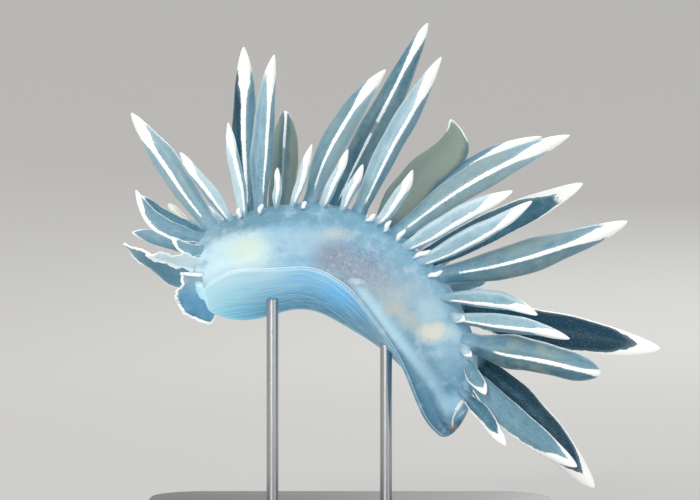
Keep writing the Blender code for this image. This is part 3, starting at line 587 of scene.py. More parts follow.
def fleshFinish():
    # Milky blue flesh over paler and darker organs, with a blue streaked sole and a fine white margin
    flesh = Finish("wet blue-white flesh")
    place = flesh.place()
    along, run, side = flesh.mark("skinRun")
    soft = flesh.noise(place, 0.16, 2.0)
    cloud = flesh.noise(place, 0.34, 4.0, 0.55)
    mottle = flesh.noise(place, 0.9, 4.0, 0.6)
    fine = flesh.noise(place, 3.2, 3.0, 0.6)

    flank = flesh.ramp(
        along + (soft - 0.5) * 0.06,
        (0.0, 196, 224, 234), (0.14, 180, 214, 228), (0.30, 138, 184, 210),
        (0.45, 130, 168, 192), (0.60, 146, 182, 200), (0.74, 150, 190, 210),
        (0.86, 100, 148, 178), (1.0, 82, 138, 172))
    back = flesh.ramp(
        along,
        (0.0, 158, 190, 204), (0.06, 138, 172, 188), (0.12, 104, 148, 166),
        (0.28, 108, 154, 176), (0.40, 124, 172, 196), (0.8, 142, 184, 206),
        (1.0, 142, 186, 210))
    backEdge = 0.578 + flesh.fade(along, 0.42, 0.64) * 0.10 + flesh.fade(along, 0.64, 0.76) * 0.05
    onBack = flesh.fade(run - backEdge + (soft - 0.5) * 0.06 + (mottle - 0.5) * 0.03, -0.03, 0.04)
    colour = flesh.blend(onBack, flank, back)
    low = flesh.fade(run + (soft - 0.5) * 0.05, 0.56, 0.45) * flesh.fade(along, 0.58, 0.74)
    under = flesh.fade(run, 0.40, 0.29) * flesh.fade(along, 0.50, 0.76)
    colour = flesh.paint(
        colour,
        (low * 0.75, (98, 146, 174)),
        (under * 0.65, (62, 120, 152)),
        (flesh.fade(cloud, 0.48, 0.72) * 0.30, (206, 226, 236)),
        (flesh.fade(cloud, 0.50, 0.28) * 0.26, (100, 144, 166)))

    patchEdge = (mottle - 0.5) * 0.7 + (fine - 0.5) * 0.3
    for centre, sizes, hue, strength in glands:
        colour = flesh.paint(colour, (flesh.glow(place, centre, sizes, patchEdge) * strength, hue))
    gut = flesh.glow(place, (1.0, -9.0, 65.5), (12.0, 14.0, 8.5), patchEdge)
    grains = flesh.fade(flesh.noise(place, 4.2, 2.0, 0.5), 0.58, 0.72)
    colour = flesh.paint(
        colour,
        (flesh.fade(mottle, 0.50, 0.66) * gut * 0.50, (122, 124, 142)),
        (flesh.fade(mottle, 0.46, 0.36) * gut * 0.35, (196, 200, 206)),
        (grains * 0.28, (228, 242, 248)))

    # Painted highlight along the ridge where the foot's upper face meets the flank, from mid-body towards the
    # tail
    ridge = 0.352 + flesh.fade(along, 0.62, 0.95) * 0.155
    ridgeHighlight = flesh.fade(run - ridge, -0.062, -0.006) * flesh.fade(run - ridge, 0.070, 0.006)
    ridgeHighlight = ridgeHighlight * flesh.fade(along, 0.42, 0.50) * flesh.fade(along, 0.99, 0.88)
    ridgeHighlight = ridgeHighlight * (0.74 - flesh.fade(along, 0.60, 0.90) * 0.32)
    colour = flesh.paint(colour, (ridgeHighlight, (190, 226, 242)))

    lengthwise = flesh.join(along * 7.0, side * 16.0, 0.0)
    streaks = flesh.noise(lengthwise, 1.6, 4.0, 0.65)
    hairs = flesh.noise(flesh.join(along * 5.0, side * 40.0, 3.0), 1.5, 3.0, 0.6)
    wander = along + (streaks - 0.5) * 0.08
    # The sole's far half is painted darker and greyer, as painted shade; the near half carries the sole's
    # blue
    shadedFarHalf = flesh.ramp(
        wander,
        (0.0, 178, 232, 246), (0.10, 112, 194, 226), (0.20, 82, 156, 192),
        (0.30, 70, 134, 168), (0.42, 60, 124, 152), (0.60, 66, 130, 160),
        (1.0, 80, 140, 170))
    nearHalf = flesh.ramp(
        wander,
        (0.0, 200, 242, 250), (0.10, 180, 232, 248), (0.20, 164, 216, 240),
        (0.30, 142, 206, 242), (0.37, 132, 202, 242), (0.42, 104, 194, 252),
        (0.50, 84, 160, 206), (0.58, 66, 134, 164), (1.0, 84, 146, 178))
    sole = flesh.blend(flesh.fade(side + (streaks - 0.5) * 0.3, -0.95, 0.55), shadedFarHalf, nearHalf)
    band = flesh.fade(side, 0.36, 0.66) * flesh.fade(along, 0.34, 0.22)
    sole = flesh.paint(
        sole,
        (flesh.fade(streaks, 0.53, 0.68) * 0.42, (210, 242, 252)),
        (flesh.fade(streaks, 0.47, 0.32) * 0.36, (66, 132, 180)),
        (flesh.fade(hairs, 0.54, 0.66) * 0.60, (214, 244, 252)),
        (band * 0.35, (222, 246, 254)),
        (flesh.fade(run, 0.172, 0.206) * 0.40, (206, 240, 250)))
    onSole = flesh.fade(run, 0.232, 0.205)
    colour = flesh.blend(onSole, colour, sole)

    ragged = (fine - 0.5) * 0.02
    rim = flesh.fade(run + ragged * 0.5, 0.232, 0.243) * flesh.fade(run + ragged * 0.5, 0.266, 0.256)
    rim = rim * (0.28 + flesh.fade(along, 0.52, 0.42) * 0.50)
    crest = flesh.fade(run + ragged, 0.962, 0.978) * flesh.fade(along, 0.895, 0.915)
    white = flesh.most(rim, crest)
    for first, last, half in zip(crestLine, crestLine[1:], (0.42, 0.42, 0.20, 0.16)):
        distance = flesh.fromLine(place, first, last) + (fine - 0.5) * 0.3
        white = flesh.most(white, flesh.fade(distance, half + 0.14, half - 0.10))
    for centre, size in whiteDots:
        white = flesh.most(white, flesh.glow(place, centre, (size, size, size), patchEdge * 0.5))
    colour = flesh.blend(white, colour, whiteLine)
    tip = flesh.glow(place, (25.9, -4.2, 24.4), (1.7, 2.4, 1.5), patchEdge)
    colour = flesh.paint(colour, (tip * 0.55, (206, 174, 136)))

    # Painted glow: the flesh gives off a share of its own colour, the sole most, to lift its shade
    lit = flesh.blend(onSole * 0.80 + 0.18, unlit, colour)
    height = mottle * 0.5 + fine * 0.25 + streaks * flesh.fade(run, 0.22, 0.18) * 0.6
    return flesh.cover({
        "Base Color": colour,
        "Roughness": 0.40 + mottle * 0.16,
        "Emission Color": lit,
        "Normal": flesh.bump(height, 0.25, 0.5)}, wetFlesh)


# Cerata: leaves with a white line along each sharp edge

leafShape = dict(
    widest=0.38,                  # share of its length where a leaf is widest
    neck=0.55,                    # share of its width at the root
    edgePower=1.7,                # power of its section, which is sharp at both edges under 2
    hookPeak=(5 / 6) ** 5 / 6,    # highest value of the hook's curve, which makes hook millimetres
    flareReach=1.3,
    keel=0.10,                    # how far the white line stands up
    keelReach=0.45,
    upwards=(-0.35, 0.0, 1.0),    # a leaf's upper face is the one turned this way
    wander=0.22,                  # sideways waver of a leaf's middle line
    scallops=(0.032, 0.022),      # uneven width along its edges
    ripple=0.05,
    twist=0.10,
    flatOn=45,                    # rolled past this, a leaf shows its flat side and has no painted highlight down its middle
    large=dict(rows=72, sides=40, sunk=2.6, flare=0.20),
    medium=dict(rows=48, sides=32, sunk=2.0, flare=0.12),
    small=dict(rows=24, sides=20, sunk=1.4, flare=0.0))


def leafWidth(share, blunt):
    # Share of the full width: a neck at the root, the widest part, then a slim or a blunt round tip
    widest, neck = leafShape["widest"], leafShape["neck"]
    rising = neck + (1 - neck) * np.sin(np.pi / 2 * np.clip(share / widest, 0, 1)) ** 1.3
    past = np.clip((share - widest) / (1 - widest), 0, 1)
    falling = (1 - past**3.2) ** 0.6 if blunt else (1 - past**2.1) ** 0.68
    return np.where(share < widest, rising, falling)


def leafSurface(build, place, row, turn, lean, length, width, roll, upper, lower, start, line, seed,
                flat=0.85, bow=0.0, hook=0.0, blunt=False, olive=0.0, tip=0.84, lopsided=0.0, broken=0.0):
    # A leaf along its bent middle line: each ring is a superellipse, broad by thin, sharp at both edges
    # roll swings its broad side about its length, bow bends it evenly and hook near its tip
    # upper and lower say how pale its two faces are, and hold painted light and shade as well as the leaf's
    # colour; line and start are millimetres, tip is a share
    size = leafShape[build]
    root = skinPoint(place, row)
    along, away = leafAxes(turn, lean)
    above = np.cross(along, away)
    above = above * (1 if above[2] >= 0 or (above[2] > -0.15 and above[0] > 0) else -1)
    angle = np.radians(roll)
    broad = away * np.cos(angle) + above * np.sin(angle)
    thin = np.cross(along, broad)
    facing = 1 if thin @ leafShape["upwards"] > 0 else -1

    rows = size["rows"]
    below = np.linspace(-size["sunk"] / length, 0, 5, endpoint=False)
    steps = np.linspace(0, 1, rows)[:-1]
    share = np.concatenate([below, mixed(steps**0.9, np.sin(np.pi / 2 * steps), 0.75)])
    inside = np.clip(share, 0, 1)
    drawn = np.random.default_rng(seed)
    phases = drawn.uniform(0, 2 * np.pi, 6)
    aside = bow * 4 * inside * (1 - inside) + hook * inside**5 * (1 - inside) / leafShape["hookPeak"]
    sway = leafShape["wander"] * np.sin(phases[0] + 7 * inside) * np.sin(np.pi * inside)
    tilt = leafShape["wander"] * np.sin(phases[1] + 5 * inside) * np.sin(np.pi * inside)
    middle = root + np.outer(share * length, along) + np.outer(aside + sway, above) + np.outer(tilt, away)
    slow, quick = leafShape["scallops"]
    scallop = 1 + slow * np.sin(phases[2] + 11 * inside) + quick * np.sin(phases[3] + 23 * inside)
    half = width / 2 * leafWidth(inside, blunt) * mixed(1, scallop, np.sin(np.pi * inside))
    half = half * (1 + size["flare"] * np.exp(-((share * length / leafShape["flareReach"]) ** 2)))
    twist = leafShape["twist"] * np.sin(phases[4] + 3 * inside) * inside

    sides = size["sides"]
    around = np.linspace(0, 2 * np.pi, sides, endpoint=False)
    ripple = 1 + leafShape["ripple"] * np.sin(phases[5] + 9 * inside)[:, None] * np.sin(around) ** 2
    across = signedPower(np.cos(around), 2 / leafShape["edgePower"])[None, :]
    through = signedPower(np.sin(around), 2 / leafShape["edgePower"])[None, :] * flat * ripple
    chords = np.hypot(np.diff(across, append=across[:, :1]), np.diff(through, append=through[:, :1]))
    reach = np.cumsum(np.concatenate([np.zeros((len(share), 1)), chords[:, :-1]], axis=1), axis=1)
    whole = chords.sum(1)[:, None]
    toEdge = np.minimum(np.minimum(reach, whole - reach), np.abs(reach - whole / 2)) * half[:, None]
    keel = leafShape["keel"] * np.exp(-((toEdge / leafShape["keelReach"]) ** 2))
    keel = keel * fade(1.0, 4.0, share * length)[:, None] * fade(0.0, 1.0, half)[:, None]
    spread = half[:, None] + keel
    wide = across * np.cos(twist)[:, None] - through * np.sin(twist)[:, None]
    deep = across * np.sin(twist)[:, None] + through * np.cos(twist)[:, None]
    rings = middle[:, None] + spread[..., None] * (wide[..., None] * broad + deep[..., None] * thin)

    shape = toEdge.shape
    toOutlineHighlight = np.abs(across) * half[:, None] + (9 if roll > leafShape["flatOn"] else 0)
    shareGrid = np.broadcast_to(share[:, None], shape)

    def evenly(*numbers):
        return np.broadcast_to(np.array(numbers, float), (*shape, 3))

    marks = dict(
        leafPlace=np.stack([shareGrid, np.broadcast_to(across, shape), through / flat * facing], -1),
        leafReach=np.stack([shareGrid * length, toEdge, np.full(shape, float(start))], -1),
        leafTone=evenly(upper, lower, olive),
        leafTip=np.stack([np.full(shape, float(tip)), np.full(shape, float(lopsided)), toOutlineHighlight], -1),
        leafLine=evenly(line, broken, seed * 3.7))
    return tubeSurface(rings, middle[0], root + along * length, marks)


leafColumns = (
    "place", "turn", "lean", "length", "width", "roll", "bow", "upper", "lower", "olive", "start", "line")


def leafTable(*rows):
    # Each row as a dictionary by its column's name, joined by the sizes that only some leaves have
    count = len(leafColumns)
    return [dict(zip(leafColumns, row), **(row[count] if len(row) > count else {})) for row in rows]


leftLarge = leafTable(
    (0.050, 125, -6, 35.3, 7.6, 12, 0, 0.62, 0.67, 0.3, 3.5, 0.46),
    (0.226, 85, 2, 39.3, 6.8, 22, 1.1, 0.56, 0.50, 0, 3.0, 0.36),
    (0.326, 61, 4, 39.1, 7.8, -2, 2.6, 0.45, 0.66, 0.45, 3.2, 0.40),
    (0.388, 62, -2, 44.4, 7.2, 14, 0.8, 0.68, 0.44, 0, 2.5, 0.42),
    (0.460, 30, 2, 50.0, 8.6, 2, 2.2, 0.58, 0.70, 0.60, 2.0, 0.46),
    (0.612, 16, 2, 49.2, 9.4, 0, -1.6, 0.44, 0.38, 0.45, 4.5, 0.42),
    (0.778, -13, -4, 32.9, 9.8, 10, 0.3, 0.44, 0.32, 0.68, 5.5, 0.42, dict(blunt=True, tip=1.06)),
    (0.870, -41, -6, 34.3, 6.8, 82, -1.5, 0.46, 0.46, 0, 2.0, 0.60, dict(flat=0.6, tip=0.90, lopsided=-0.45)))
leftMedium = leafTable(
    (0.117, 126, -16, 21.5, 4.2, 14, 0, 0.85, 0.6, 0, 0.8, 0.48),
    (0.164, 99, -14, 24.1, 4.1, -18, 0, 0.9, 0.6, 0, 0.8, 0.48),
    (0.272, 88, -20, 10.7, 2.6, 0, 0, 0.8, 0.6, 0, 0.8, 0.40),
    (0.302, 72, -20, 17.1, 3.1, 15, 0, 0.8, 0.6, 0, 0.8, 0.55),
    (0.341, 66, -22, 16.7, 3.3, 14, 0, 0.8, 0.6, 0, 0.8, 0.55),
    (0.365, 65, -22, 13.5, 3.5, 14, 0, 0.8, 0.6, 0, 0.8, 0.55),
    (0.418, 56, -22, 17.3, 4.2, 12, -1, 0.8, 0.6, 0, 0.8, 0.62),
    (0.492, 28, -18, 30.7, 5.8, 34, 0.6, 0.72, 0.6, 0, 0.5, 0.62),
    (0.548, 29, -18, 32.4, 5.7, 30, -0.7, 0.68, 0.55, 0, 1.0, 0.48),
    (0.661, -10, -20, 23.7, 5.3, 30, 1.8, 0.56, 0.5, 0, 1.0, 0.48),
    (0.708, -10, -18, 29.1, 5.2, 22, 1, 0.62, 0.45, 0, 1.0, 0.40),
    (0.822, -59, -24, 9.6, 3.6, 80, 0, 0.45, 0.45, 0, 0.5, 0.35, dict(flat=0.6)),
    (0.915, -51, -16, 16.5, 3.8, 75, 0.4, 0.26, 0.26, 0, 0.5, 0.5, dict(flat=0.6)))
# The far row: its low, dark teal tones are painted shade
rightLarge = leafTable(
    (0.168, 92, 10, 48.5, 8.4, 2, 0, 0.02, 0.42, 0, 6.0, 0.50),
    (0.258, 85, 14, 30.6, 8.4, 0, -1.0, 0.46, 0.46, 0.9, 19.0, 0.26, dict(blunt=True, tip=1.1)),
    (0.350, 63.5, 12, 59.9, 9.2, 0, 0, 0.32, 0.34, 0.3, 6.0, 0.34, dict(tip=0.92, broken=1.0)),
    (0.442, 60, 14, 37.5, 11.4, 65, 0.4, 0.30, 0.36, 0.9, 33.5, 0.3,
     dict(flat=0.6, hook=-4.4, blunt=True, tip=0.97)),
    (0.482, 38, 16, 50.1, 6.4, -6, 5.3, 0.40, 0.08, 0, 2.0, 0.46),
    (0.545, 25.5, 12, 49.0, 8.0, 70, 0, 0.20, 0.20, 0, 4.0, 0.52, dict(flat=0.6, tip=0.80, lopsided=0.75)),
    (0.643, 8, 26, 14.6, 5.0, 40, 0, 0.4, 0.4, 0, 2.0, 0.4),
    (0.690, -12, 12, 55.5, 9.8, 75, -1.2, -0.12, 0.04, 0, 8.0, 0.78, dict(flat=0.6, tip=0.91)),
    (0.836, -47, 10, 45.4, 9.0, 80, 0.5, 0.02, 0.02, 0, 3.0, 0.80, dict(flat=0.6, tip=0.92)))
headLeaves = leafTable(
    (0.014, 144, -14, 20.8, 4.7, 66, -3.4, 0.50, 0.62, 0, 0.3, 0.52,
     dict(row=42, flat=0.6, tip=0.92, lopsided=-0.55)),
    (0.022, 148.5, -1, 18.5, 3.0, 62, -1.0, 0.34, 0.34, 0, 1.0, 0.14, dict(row=62, flat=0.5, tip=1.05)),
    (0.010, 163, 18, 21.0, 4.4, 80, 0.8, 0.52, 0.52, 0, 0.5, 0.17, dict(row=126, flat=0.6, tip=1.0)),
    (0.050, 150, 34, 17.0, 5.0, 30, 2, 0.5, 0.5, 0, 1.0, 0.3, dict(row=128, flat=0.7)),
    (0.015, 158, -38, 10.2, 3.6, 62, -1.5, 0.56, 0.56, 0, 0.2, 0.50, dict(row=6, flat=0.5, tip=0.93)))
leftFringe = (
    # place, heading, length and roll of the shortest; those with their edge to the viewer look all white
    (0.148, 90, 3.6, 0), (0.222, 73, 3.2, 0), (0.314, 51, 2.6, 0), (0.402, 36, 3.8, 0),
    (0.435, 58, 4.2, 0), (0.464, 52, 4.7, 0), (0.523, 25, 5.8, 0), (0.590, 21, 4.8, 0),
    (0.693, -21, 4.6, 70), (0.764, -48, 4.8, 75))
leafRows = dict(
    # degrees round the body of the first four, 90 at the back
    leftLarge=62,
    leftMedium=40,
    leftFringe=30,
    rightLarge=112,
    fringeLean=-34,               # lean and width of the shortest
    fringeWidth=1.6,
    fringeGain=1.5,               # those with their flat side to the viewer are this much wider
    fringeLines=(0.50, 0.20),     # their line with the edge and with the flat side to the viewer
    fringeFaces=(0.8, 0.7),       # their upper and lower
    fringeStart=0.3,
    mirroredLean=6,               # what a mirrored leaf leans further, and its share of the length
    mirroredLength=0.68,
    turnSpread=3,                 # random spreads of its heading and length
    lengthSpread=0.08,
    seed=11)


def fringeLeaf(place, turn, length, roll, mirrored):
    # One of the shortest leaves; roll is nought where its edge is to the viewer
    row = 180 - leafRows["leftFringe"] if mirrored else leafRows["leftFringe"]
    lean = -leafRows["fringeLean"] if mirrored else leafRows["fringeLean"]
    width = leafRows["fringeWidth"] * (leafRows["fringeGain"] if roll else 1)
    line = leafRows["fringeLines"][1 if roll else 0]
    upper, lower = leafRows["fringeFaces"]
    return dict(place=place, row=row, turn=turn, lean=lean, length=length, width=width, roll=roll,
                upper=upper, lower=lower, start=leafRows["fringeStart"], line=line)


def allLeaves():
    # Each group of leaves with its build; the right side's outer rows are a varied mirror of the left side's
    draw = random.Random(leafRows["seed"])
    left = [("large", dict(leaf, row=leafRows["leftLarge"])) for leaf in leftLarge]
    left += [("medium", dict(leaf, row=leafRows["leftMedium"])) for leaf in leftMedium]
    left += [("small", fringeLeaf(*short, False)) for short in leftFringe]
    right = [("large", dict(leaf, row=leafRows["rightLarge"])) for leaf in rightLarge]
    for leaf in leftMedium:
        leaf = dict(leaf, row=180 - leafRows["leftMedium"], lean=leafRows["mirroredLean"] - leaf["lean"])
        leaf["turn"] += draw.uniform(-1, 1) * leafRows["turnSpread"]
        leaf["length"] *= leafRows["mirroredLength"] * (1 + draw.uniform(-1, 1) * leafRows["lengthSpread"])
        right.append(("medium", leaf))
    right += [("small", fringeLeaf(*short, True)) for short in leftFringe]
    head = [("large", leaf) for leaf in headLeaves]
    return dict(cerataLeft=left, cerataRight=right, cerataHead=head)


def leafFinish():
    # Clear blue-grey flesh with a white line on each sharp edge that widens into a white tip
    leaf = Finish("ceras flesh with white lines")
    place = leaf.place()
    share, across, through = leaf.mark("leafPlace")
    fromRoot, toEdge, start = leaf.mark("leafReach")
    upper, lower, olive = leaf.mark("leafTone")
    line, broken, seed = leaf.mark("leafLine")
    tip, lopsided, toOutlineHighlight = leaf.mark("leafTip")

    waver = leaf.noise(leaf.join(fromRoot * 0.55, seed, 0.0), 1.0, 3.0, 0.6)
    ragged = leaf.noise(place, 1.7, 3.0, 0.65)
    fine = leaf.noise(place, 5.0, 2.0, 0.5)
    soft = leaf.noise(place, 0.28, 2.0)
    streaks = leaf.noise(leaf.join(fromRoot * 0.25, across * 3.0, through * 2.0 + seed), 1.4, 3.0, 0.6)

    taper = 0.50 + leaf.fade(share, 0.05, 0.60) * 0.70 + leaf.fade(share, tip - 0.20, tip + 0.04) * 2.8
    taper = taper * (1 + lopsided * leaf.fade(across, -0.4, 0.4) - lopsided * leaf.fade(across, 0.4, -0.4))
    lineHalf = line * taper * (0.60 + waver * 0.9) + (ragged - 0.5) * 0.50 + (fine - 0.5) * 0.30
    gap = leaf.fade(share, 0.415, 0.43) * leaf.fade(share, 0.485, 0.47) * broken
    begun = leaf.fade(fromRoot + (ragged - 0.5) * 2.0, start, start + 1.2)
    drawnLine = leaf.fade(lineHalf - toEdge, -0.07, 0.07) * begun * (1 - gap)
    whiteTip = leaf.fade(share + (ragged - 0.5) * 0.10, tip, tip + 0.05)
    white = leaf.most(drawnLine, whiteTip * leaf.fade(start - fromRoot, 0.5, -0.5))
    halo = leaf.fade(toEdge, line * taper * 2.2, 0.0)
    halo = halo * leaf.fade(fromRoot, start - 1.0, start + 2.0) * (1 - white)

    faceSide = leaf.fade(through, -0.25, 0.25)
    tone = lower + (upper - lower) * faceSide
    grain = leaf.noise(place, 2.4, 4.0, 0.7)
    whole = leaf.fade(olive, 0.7, 0.9)    # leaves that are olive all over, to the tip
    tone = tone + ((soft - 0.5) * 0.20 + (streaks - 0.5) * 0.30 + (grain - 0.5) * 0.30) * (1 - whole * 0.6)
    # Painted highlight down the middle of each broad face, standing for the bright outline of a leaf turned
    # edge-on
    tone = tone + leaf.fade(toOutlineHighlight + (ragged - 0.5) * 0.8, 1.5, 0.3) * 0.24
    face = leaf.ramp(
        tone,
        (0.0, 10, 62, 82), (0.25, 62, 116, 138), (0.5, 122, 164, 182),
        (0.75, 172, 204, 216), (1.0, 214, 234, 242))
    core = leaf.fade(share, 0.06, 0.24) * leaf.fade(share, 0.84 + whole * 0.5, 0.58 + whole * 0.5)
    core = core * leaf.most(leaf.fade(soft, 0.30, 0.62), whole) * olive
    inner = leaf.fade(toEdge + (soft - 0.5) * 1.6 + (streaks - 0.5) * 0.8, 0.5, 2.4)
    olives = leaf.blend(inner, tint(100, 134, 142), tint(156, 168, 156))
    face = leaf.blend(core, face, olives)
    face = leaf.paint(
        face,
        (halo * 0.35, (214, 230, 238)),
        (whole * leaf.fade(toEdge, 0.42, 0.12) * 0.55, (196, 214, 216)),
        (leaf.fade(fine, 0.62, 0.72) * 0.40, (220, 234, 238)),
        (leaf.fade(fromRoot, 2.4, 0.2) * 0.7, (124, 162, 186)))
    colour = leaf.blend(white, face, whiteLine)

    solid = leaf.most(white, leaf.fade(fromRoot, 4.0, 0.5))
    height = white * 0.6 + streaks * 0.5 + fine * 0.2
    # The emission is a painted glow of the leaf's colour, strongest on its white lines; leaves with dark,
    # painted-shade tones are kept nearly opaque
    return leaf.cover({
        "Base Color": colour,
        "Roughness": 0.34 + ragged * 0.12 + white * 0.12,
        "Alpha": leaf.most(solid, 0.96 - leaf.fade(tone, 0.05, 0.6) * 0.14),
        "Emission Color": leaf.blend(white * 0.25 + 0.25, unlit, colour),
        "Normal": leaf.bump(height, 0.12, 0.6)}, {**wetFlesh, "Sheen Weight": 0.55, "Sheen Roughness": 0.12})


# Oral veil

veilShape = dict(
    thickness=0.8,                # and how thin it is at its free margin
    margin=0.40,
    waves=5,
    rimSteps=5,
    scallop=0.20,                 # how far the small lobes of the free margin stand out
    frill=0.14,                   # and how far they wave up and down
    pitch=2.2,                    # millimetres from one to the next
    scallopReach=0.9,             # and how far in they reach
    rows=110,
    columns=80)
veilLobes = dict(
    veil_left=dict(
        root=(0.6, 5.8, 7.4), turn=171, lean=-16, length=14.2, width=9, roll=-24, wave=0.45, cup=-0.3,
        sag=0.0, tone=0.92, edge=1.7, folded=1, frilled=0.8),
    veil_right=dict(
        root=(-0.6, -5.6, 7.6), turn=151.8, lean=13, length=23.1, width=10, roll=-36, wave=0.45, cup=1.0,
        sag=1.7, tone=0.20, edge=0.36, folded=0, frilled=0.3))
veilFront = dict(
    start=(0.4, 6.4, 3.8),
    end=(2.6, -11.2, 1.8),
    bulge=2.6,
    rise=2.0,
    stations=(
        # share of the way from left to right, reach, and how far it points up per millimetre of reach
        (0.0, 5.2, 0.11), (0.2, 4.4, -0.34), (0.35, 5.7, -0.38), (0.5, 6.0, -0.42), (0.7, 5.4, -0.59),
        (0.85, 4.3, -0.75), (1.0, 2.4, -0.80)),
    forwards=(0.92, 0.42),        # how far it points ahead, and how much less at its right end
    sideways=(0.10, 0.40),        # how far it points left, and how much less from end to end
    rootLength=19,
    marginLength=23,
    waves=4,
    wave=0.3,
    rows=60,
    columns=260,
    tone=0.55,
    edge=0.50)


def scallops(along, reach):
    # Uneven small lobes: a wandering sine and a quicker one along the margin, fading inwards
    turn = 2 * np.pi * along / veilShape["pitch"]
    uneven = 0.7 * np.sin(turn + np.sin(turn * 0.23)) + 0.3 * np.sin(turn * 1.7)
    return uneven * np.exp(-((reach / veilShape["scallopReach"]) ** 2))


def veilMarks(share, across, margin, tone, edge, milky):
    # margin is the distance from the free margin, and milky is how far the face is veiled with grey
    tones, edges = (np.full(share.shape, float(value)) for value in (tone, edge))
    return dict(veilPlace=np.stack([share, across, margin], -1), veilTone=np.stack([tones, edges, milky], -1))


def veilHalf(inwards):
    # Half the sheet's thickness, less near its free margin
    return mixed(veilShape["thickness"], veilShape["margin"], fade(1.6, 0.2, inwards)) / 2


def veilLobe(root, turn, lean, length, width, roll, wave, cup, sag, tone, edge, folded, frilled):
    # A rounded leaf: its middle line runs out from the face and sags, its half width swells and then
    # closes in, and it is waved and cupped across, with small lobes on its margin
    # A folded one has no white on its near edge
    shape = veilShape
    root = inFrame(0.0, *root)
    along, away = leafAxes(turn, lean)
    above = np.cross(away, along)
    angle = np.radians(roll)
    broad = away * np.cos(angle) + above * np.sin(angle)
    raised = np.cross(along, broad)
    share, across = crossed(np.linspace(0, 1, shape["rows"]), np.linspace(-1, 1, shape["columns"]))
    half = width / 2 * (0.75 + 0.25 * np.sin(np.pi * np.minimum(1, share / 0.5)))
    half = half * (1 - np.clip((share - 0.35) / 0.65, 0, 1) ** 2.2 * 0.92)
    waved = wave * across**2 * np.sin(shape["waves"] * np.pi * share + across)
    cupped = -cup * across**2 * (1 - share)
    down = np.array([0.0, 0.0, -1.0])
    near, far = (1 + across) * half, (1 - across) * half
    end = (1 - share) * length * 0.8
    margin = np.minimum(np.minimum(near + 9 * folded, far), end)
    lobed = scallops(share * length, np.minimum(near, far)) * np.sign(across) * frilled
    aside = half * across + shape["scallop"] * lobed
    lifted = waved + cupped + shape["frill"] * lobed
    sagging = sag * 4 * share * (1 - share)
    points = root + (along * (length * share)[..., None] + broad * aside[..., None]
                     + raised * lifted[..., None] + down * sagging[..., None])
    thick = veilHalf(np.minimum(np.minimum(near, far), end))
    milky = 0.8 * fade(0.62, 1.0, share) * (1 - folded)
    return sheetSurface(points, thick, veilMarks(share, across, margin, tone, edge, milky))


def veilFrontSurface():
    # A crescent round the front of the face: a root line that bulges forward, and from it a reach and a
    # fall that are cubics through their stations, with waves
    shape, front = veilShape, veilFront
    turn, share = crossed(np.linspace(0, 1, front["columns"]), np.linspace(0, 1, front["rows"]))
    bulge = np.sin(np.pi * turn)
    start, end = np.array(front["start"]), np.array(front["end"])
    swell = np.array([-front["bulge"], 0.0, front["rise"]])
    root = start + (end - start) * turn[..., None] + swell * bulge[..., None]
    wave = front["wave"] * share * np.sin(turn * front["waves"] * 2 * np.pi)
    stations, reaches, falls = zip(*front["stations"])
    whole = throughStations(stations, reaches, turn)
    forwards, aheadLess = front["forwards"]
    sideways, sidewaysLess = front["sideways"]
    ahead = -forwards + aheadLess * fade(0.75, 1.0, turn)
    out = np.stack([ahead, sideways - sidewaysLess * turn, throughStations(stations, falls, turn)], -1)
    inwards = (1 - share) * whole
    # Distances from the left end count twice, so that its white is narrower
    margin = np.minimum(inwards, np.minimum(turn * 2, 1 - turn) * front["rootLength"])
    lobed = scallops(turn * front["marginLength"], inwards)
    spot = root + out * (whole * share + shape["scallop"] * lobed)[..., None]
    height = spot[..., 2] + wave + shape["frill"] * lobed
    points = inFrame(np.zeros(share.shape), spot[..., 0], spot[..., 1], height)
    marks = veilMarks(share, turn * 2 - 1, margin, front["tone"], front["edge"], fade(0.60, 0.10, turn))
    return sheetSurface(points, veilHalf(inwards), marks)


def veilFinish():
    # Thin blue flesh with a white margin
    veil = Finish("veil flesh with a white margin")
    place = veil.place()
    share, across, margin = veil.mark("veilPlace")
    tone, edge, milky = veil.mark("veilTone")
    ragged = veil.noise(place, 1.5, 3.0, 0.6)
    fine = veil.noise(place, 4.5, 2.0)
    rays = veil.noise(veil.join(across * 7.0, share * 1.5, tone * 9.0), 1.5, 3.0, 0.6)
    white = veil.fade(margin - edge + (ragged - 0.5) * 0.5 + (fine - 0.5) * 0.2, 0.06, -0.06)
    # Painted light and shade: the pale sheets are paler at one side across and darker at the other
    shade = tone + (rays - 0.5) * 0.30 + (0.5 - share) * 0.30 - across * veil.fade(tone, 0.2, 0.5) * 0.22
    face = veil.ramp(
        shade,
        (0.0, 48, 94, 114), (0.25, 88, 138, 160), (0.5, 112, 176, 212),
        (0.75, 172, 210, 228), (1.0, 214, 232, 238))
    face = veil.paint(
        face, (milky * 0.75, (156, 186, 202)), (veil.fade(fine, 0.6, 0.75) * 0.3, (222, 236, 240)))
    colour = veil.blend(white, face, whiteLine)
    # The emission is a painted glow of the veil's colour
    return veil.cover({
        "Base Color": colour,
        "Roughness": 0.36 + ragged * 0.14,
        "Alpha": 0.88 + white * 0.12,
        "Emission Color": veil.blend(white * 0.1 + 0.55, unlit, colour),
        "Normal": veil.bump(rays * 0.5 + white * 0.5 + fine * 0.2, 0.14, 0.6)}, wetFlesh)


# Rhinophores

clubShape = dict(
    length=12.0,
    stalk=0.85,                   # radius of the stalk and of the club
    club=1.12,
    leaves=10,
    ridge=0.12,                   # share of the radius that the leaves stand out, and their slant
    slant=0.30,
    starts=(0.33, 0.46),          # shares of its length where the stalk turns into the club
    middle=0.66,                  # share at the club's middle, and from there to its end
    reach=0.345,
    knob=(0.80, 0.86),            # shares where the leaves end under the smooth tip
    sunk=2.5,
    place=0.004,
    height=17.2,
    rows=170,
    sides=48)
clubs = dict(
    rhinophore_left=dict(sideways=1.8, turn=134, lean=8),
    rhinophore_right=dict(sideways=-2.4, turn=136, lean=15))


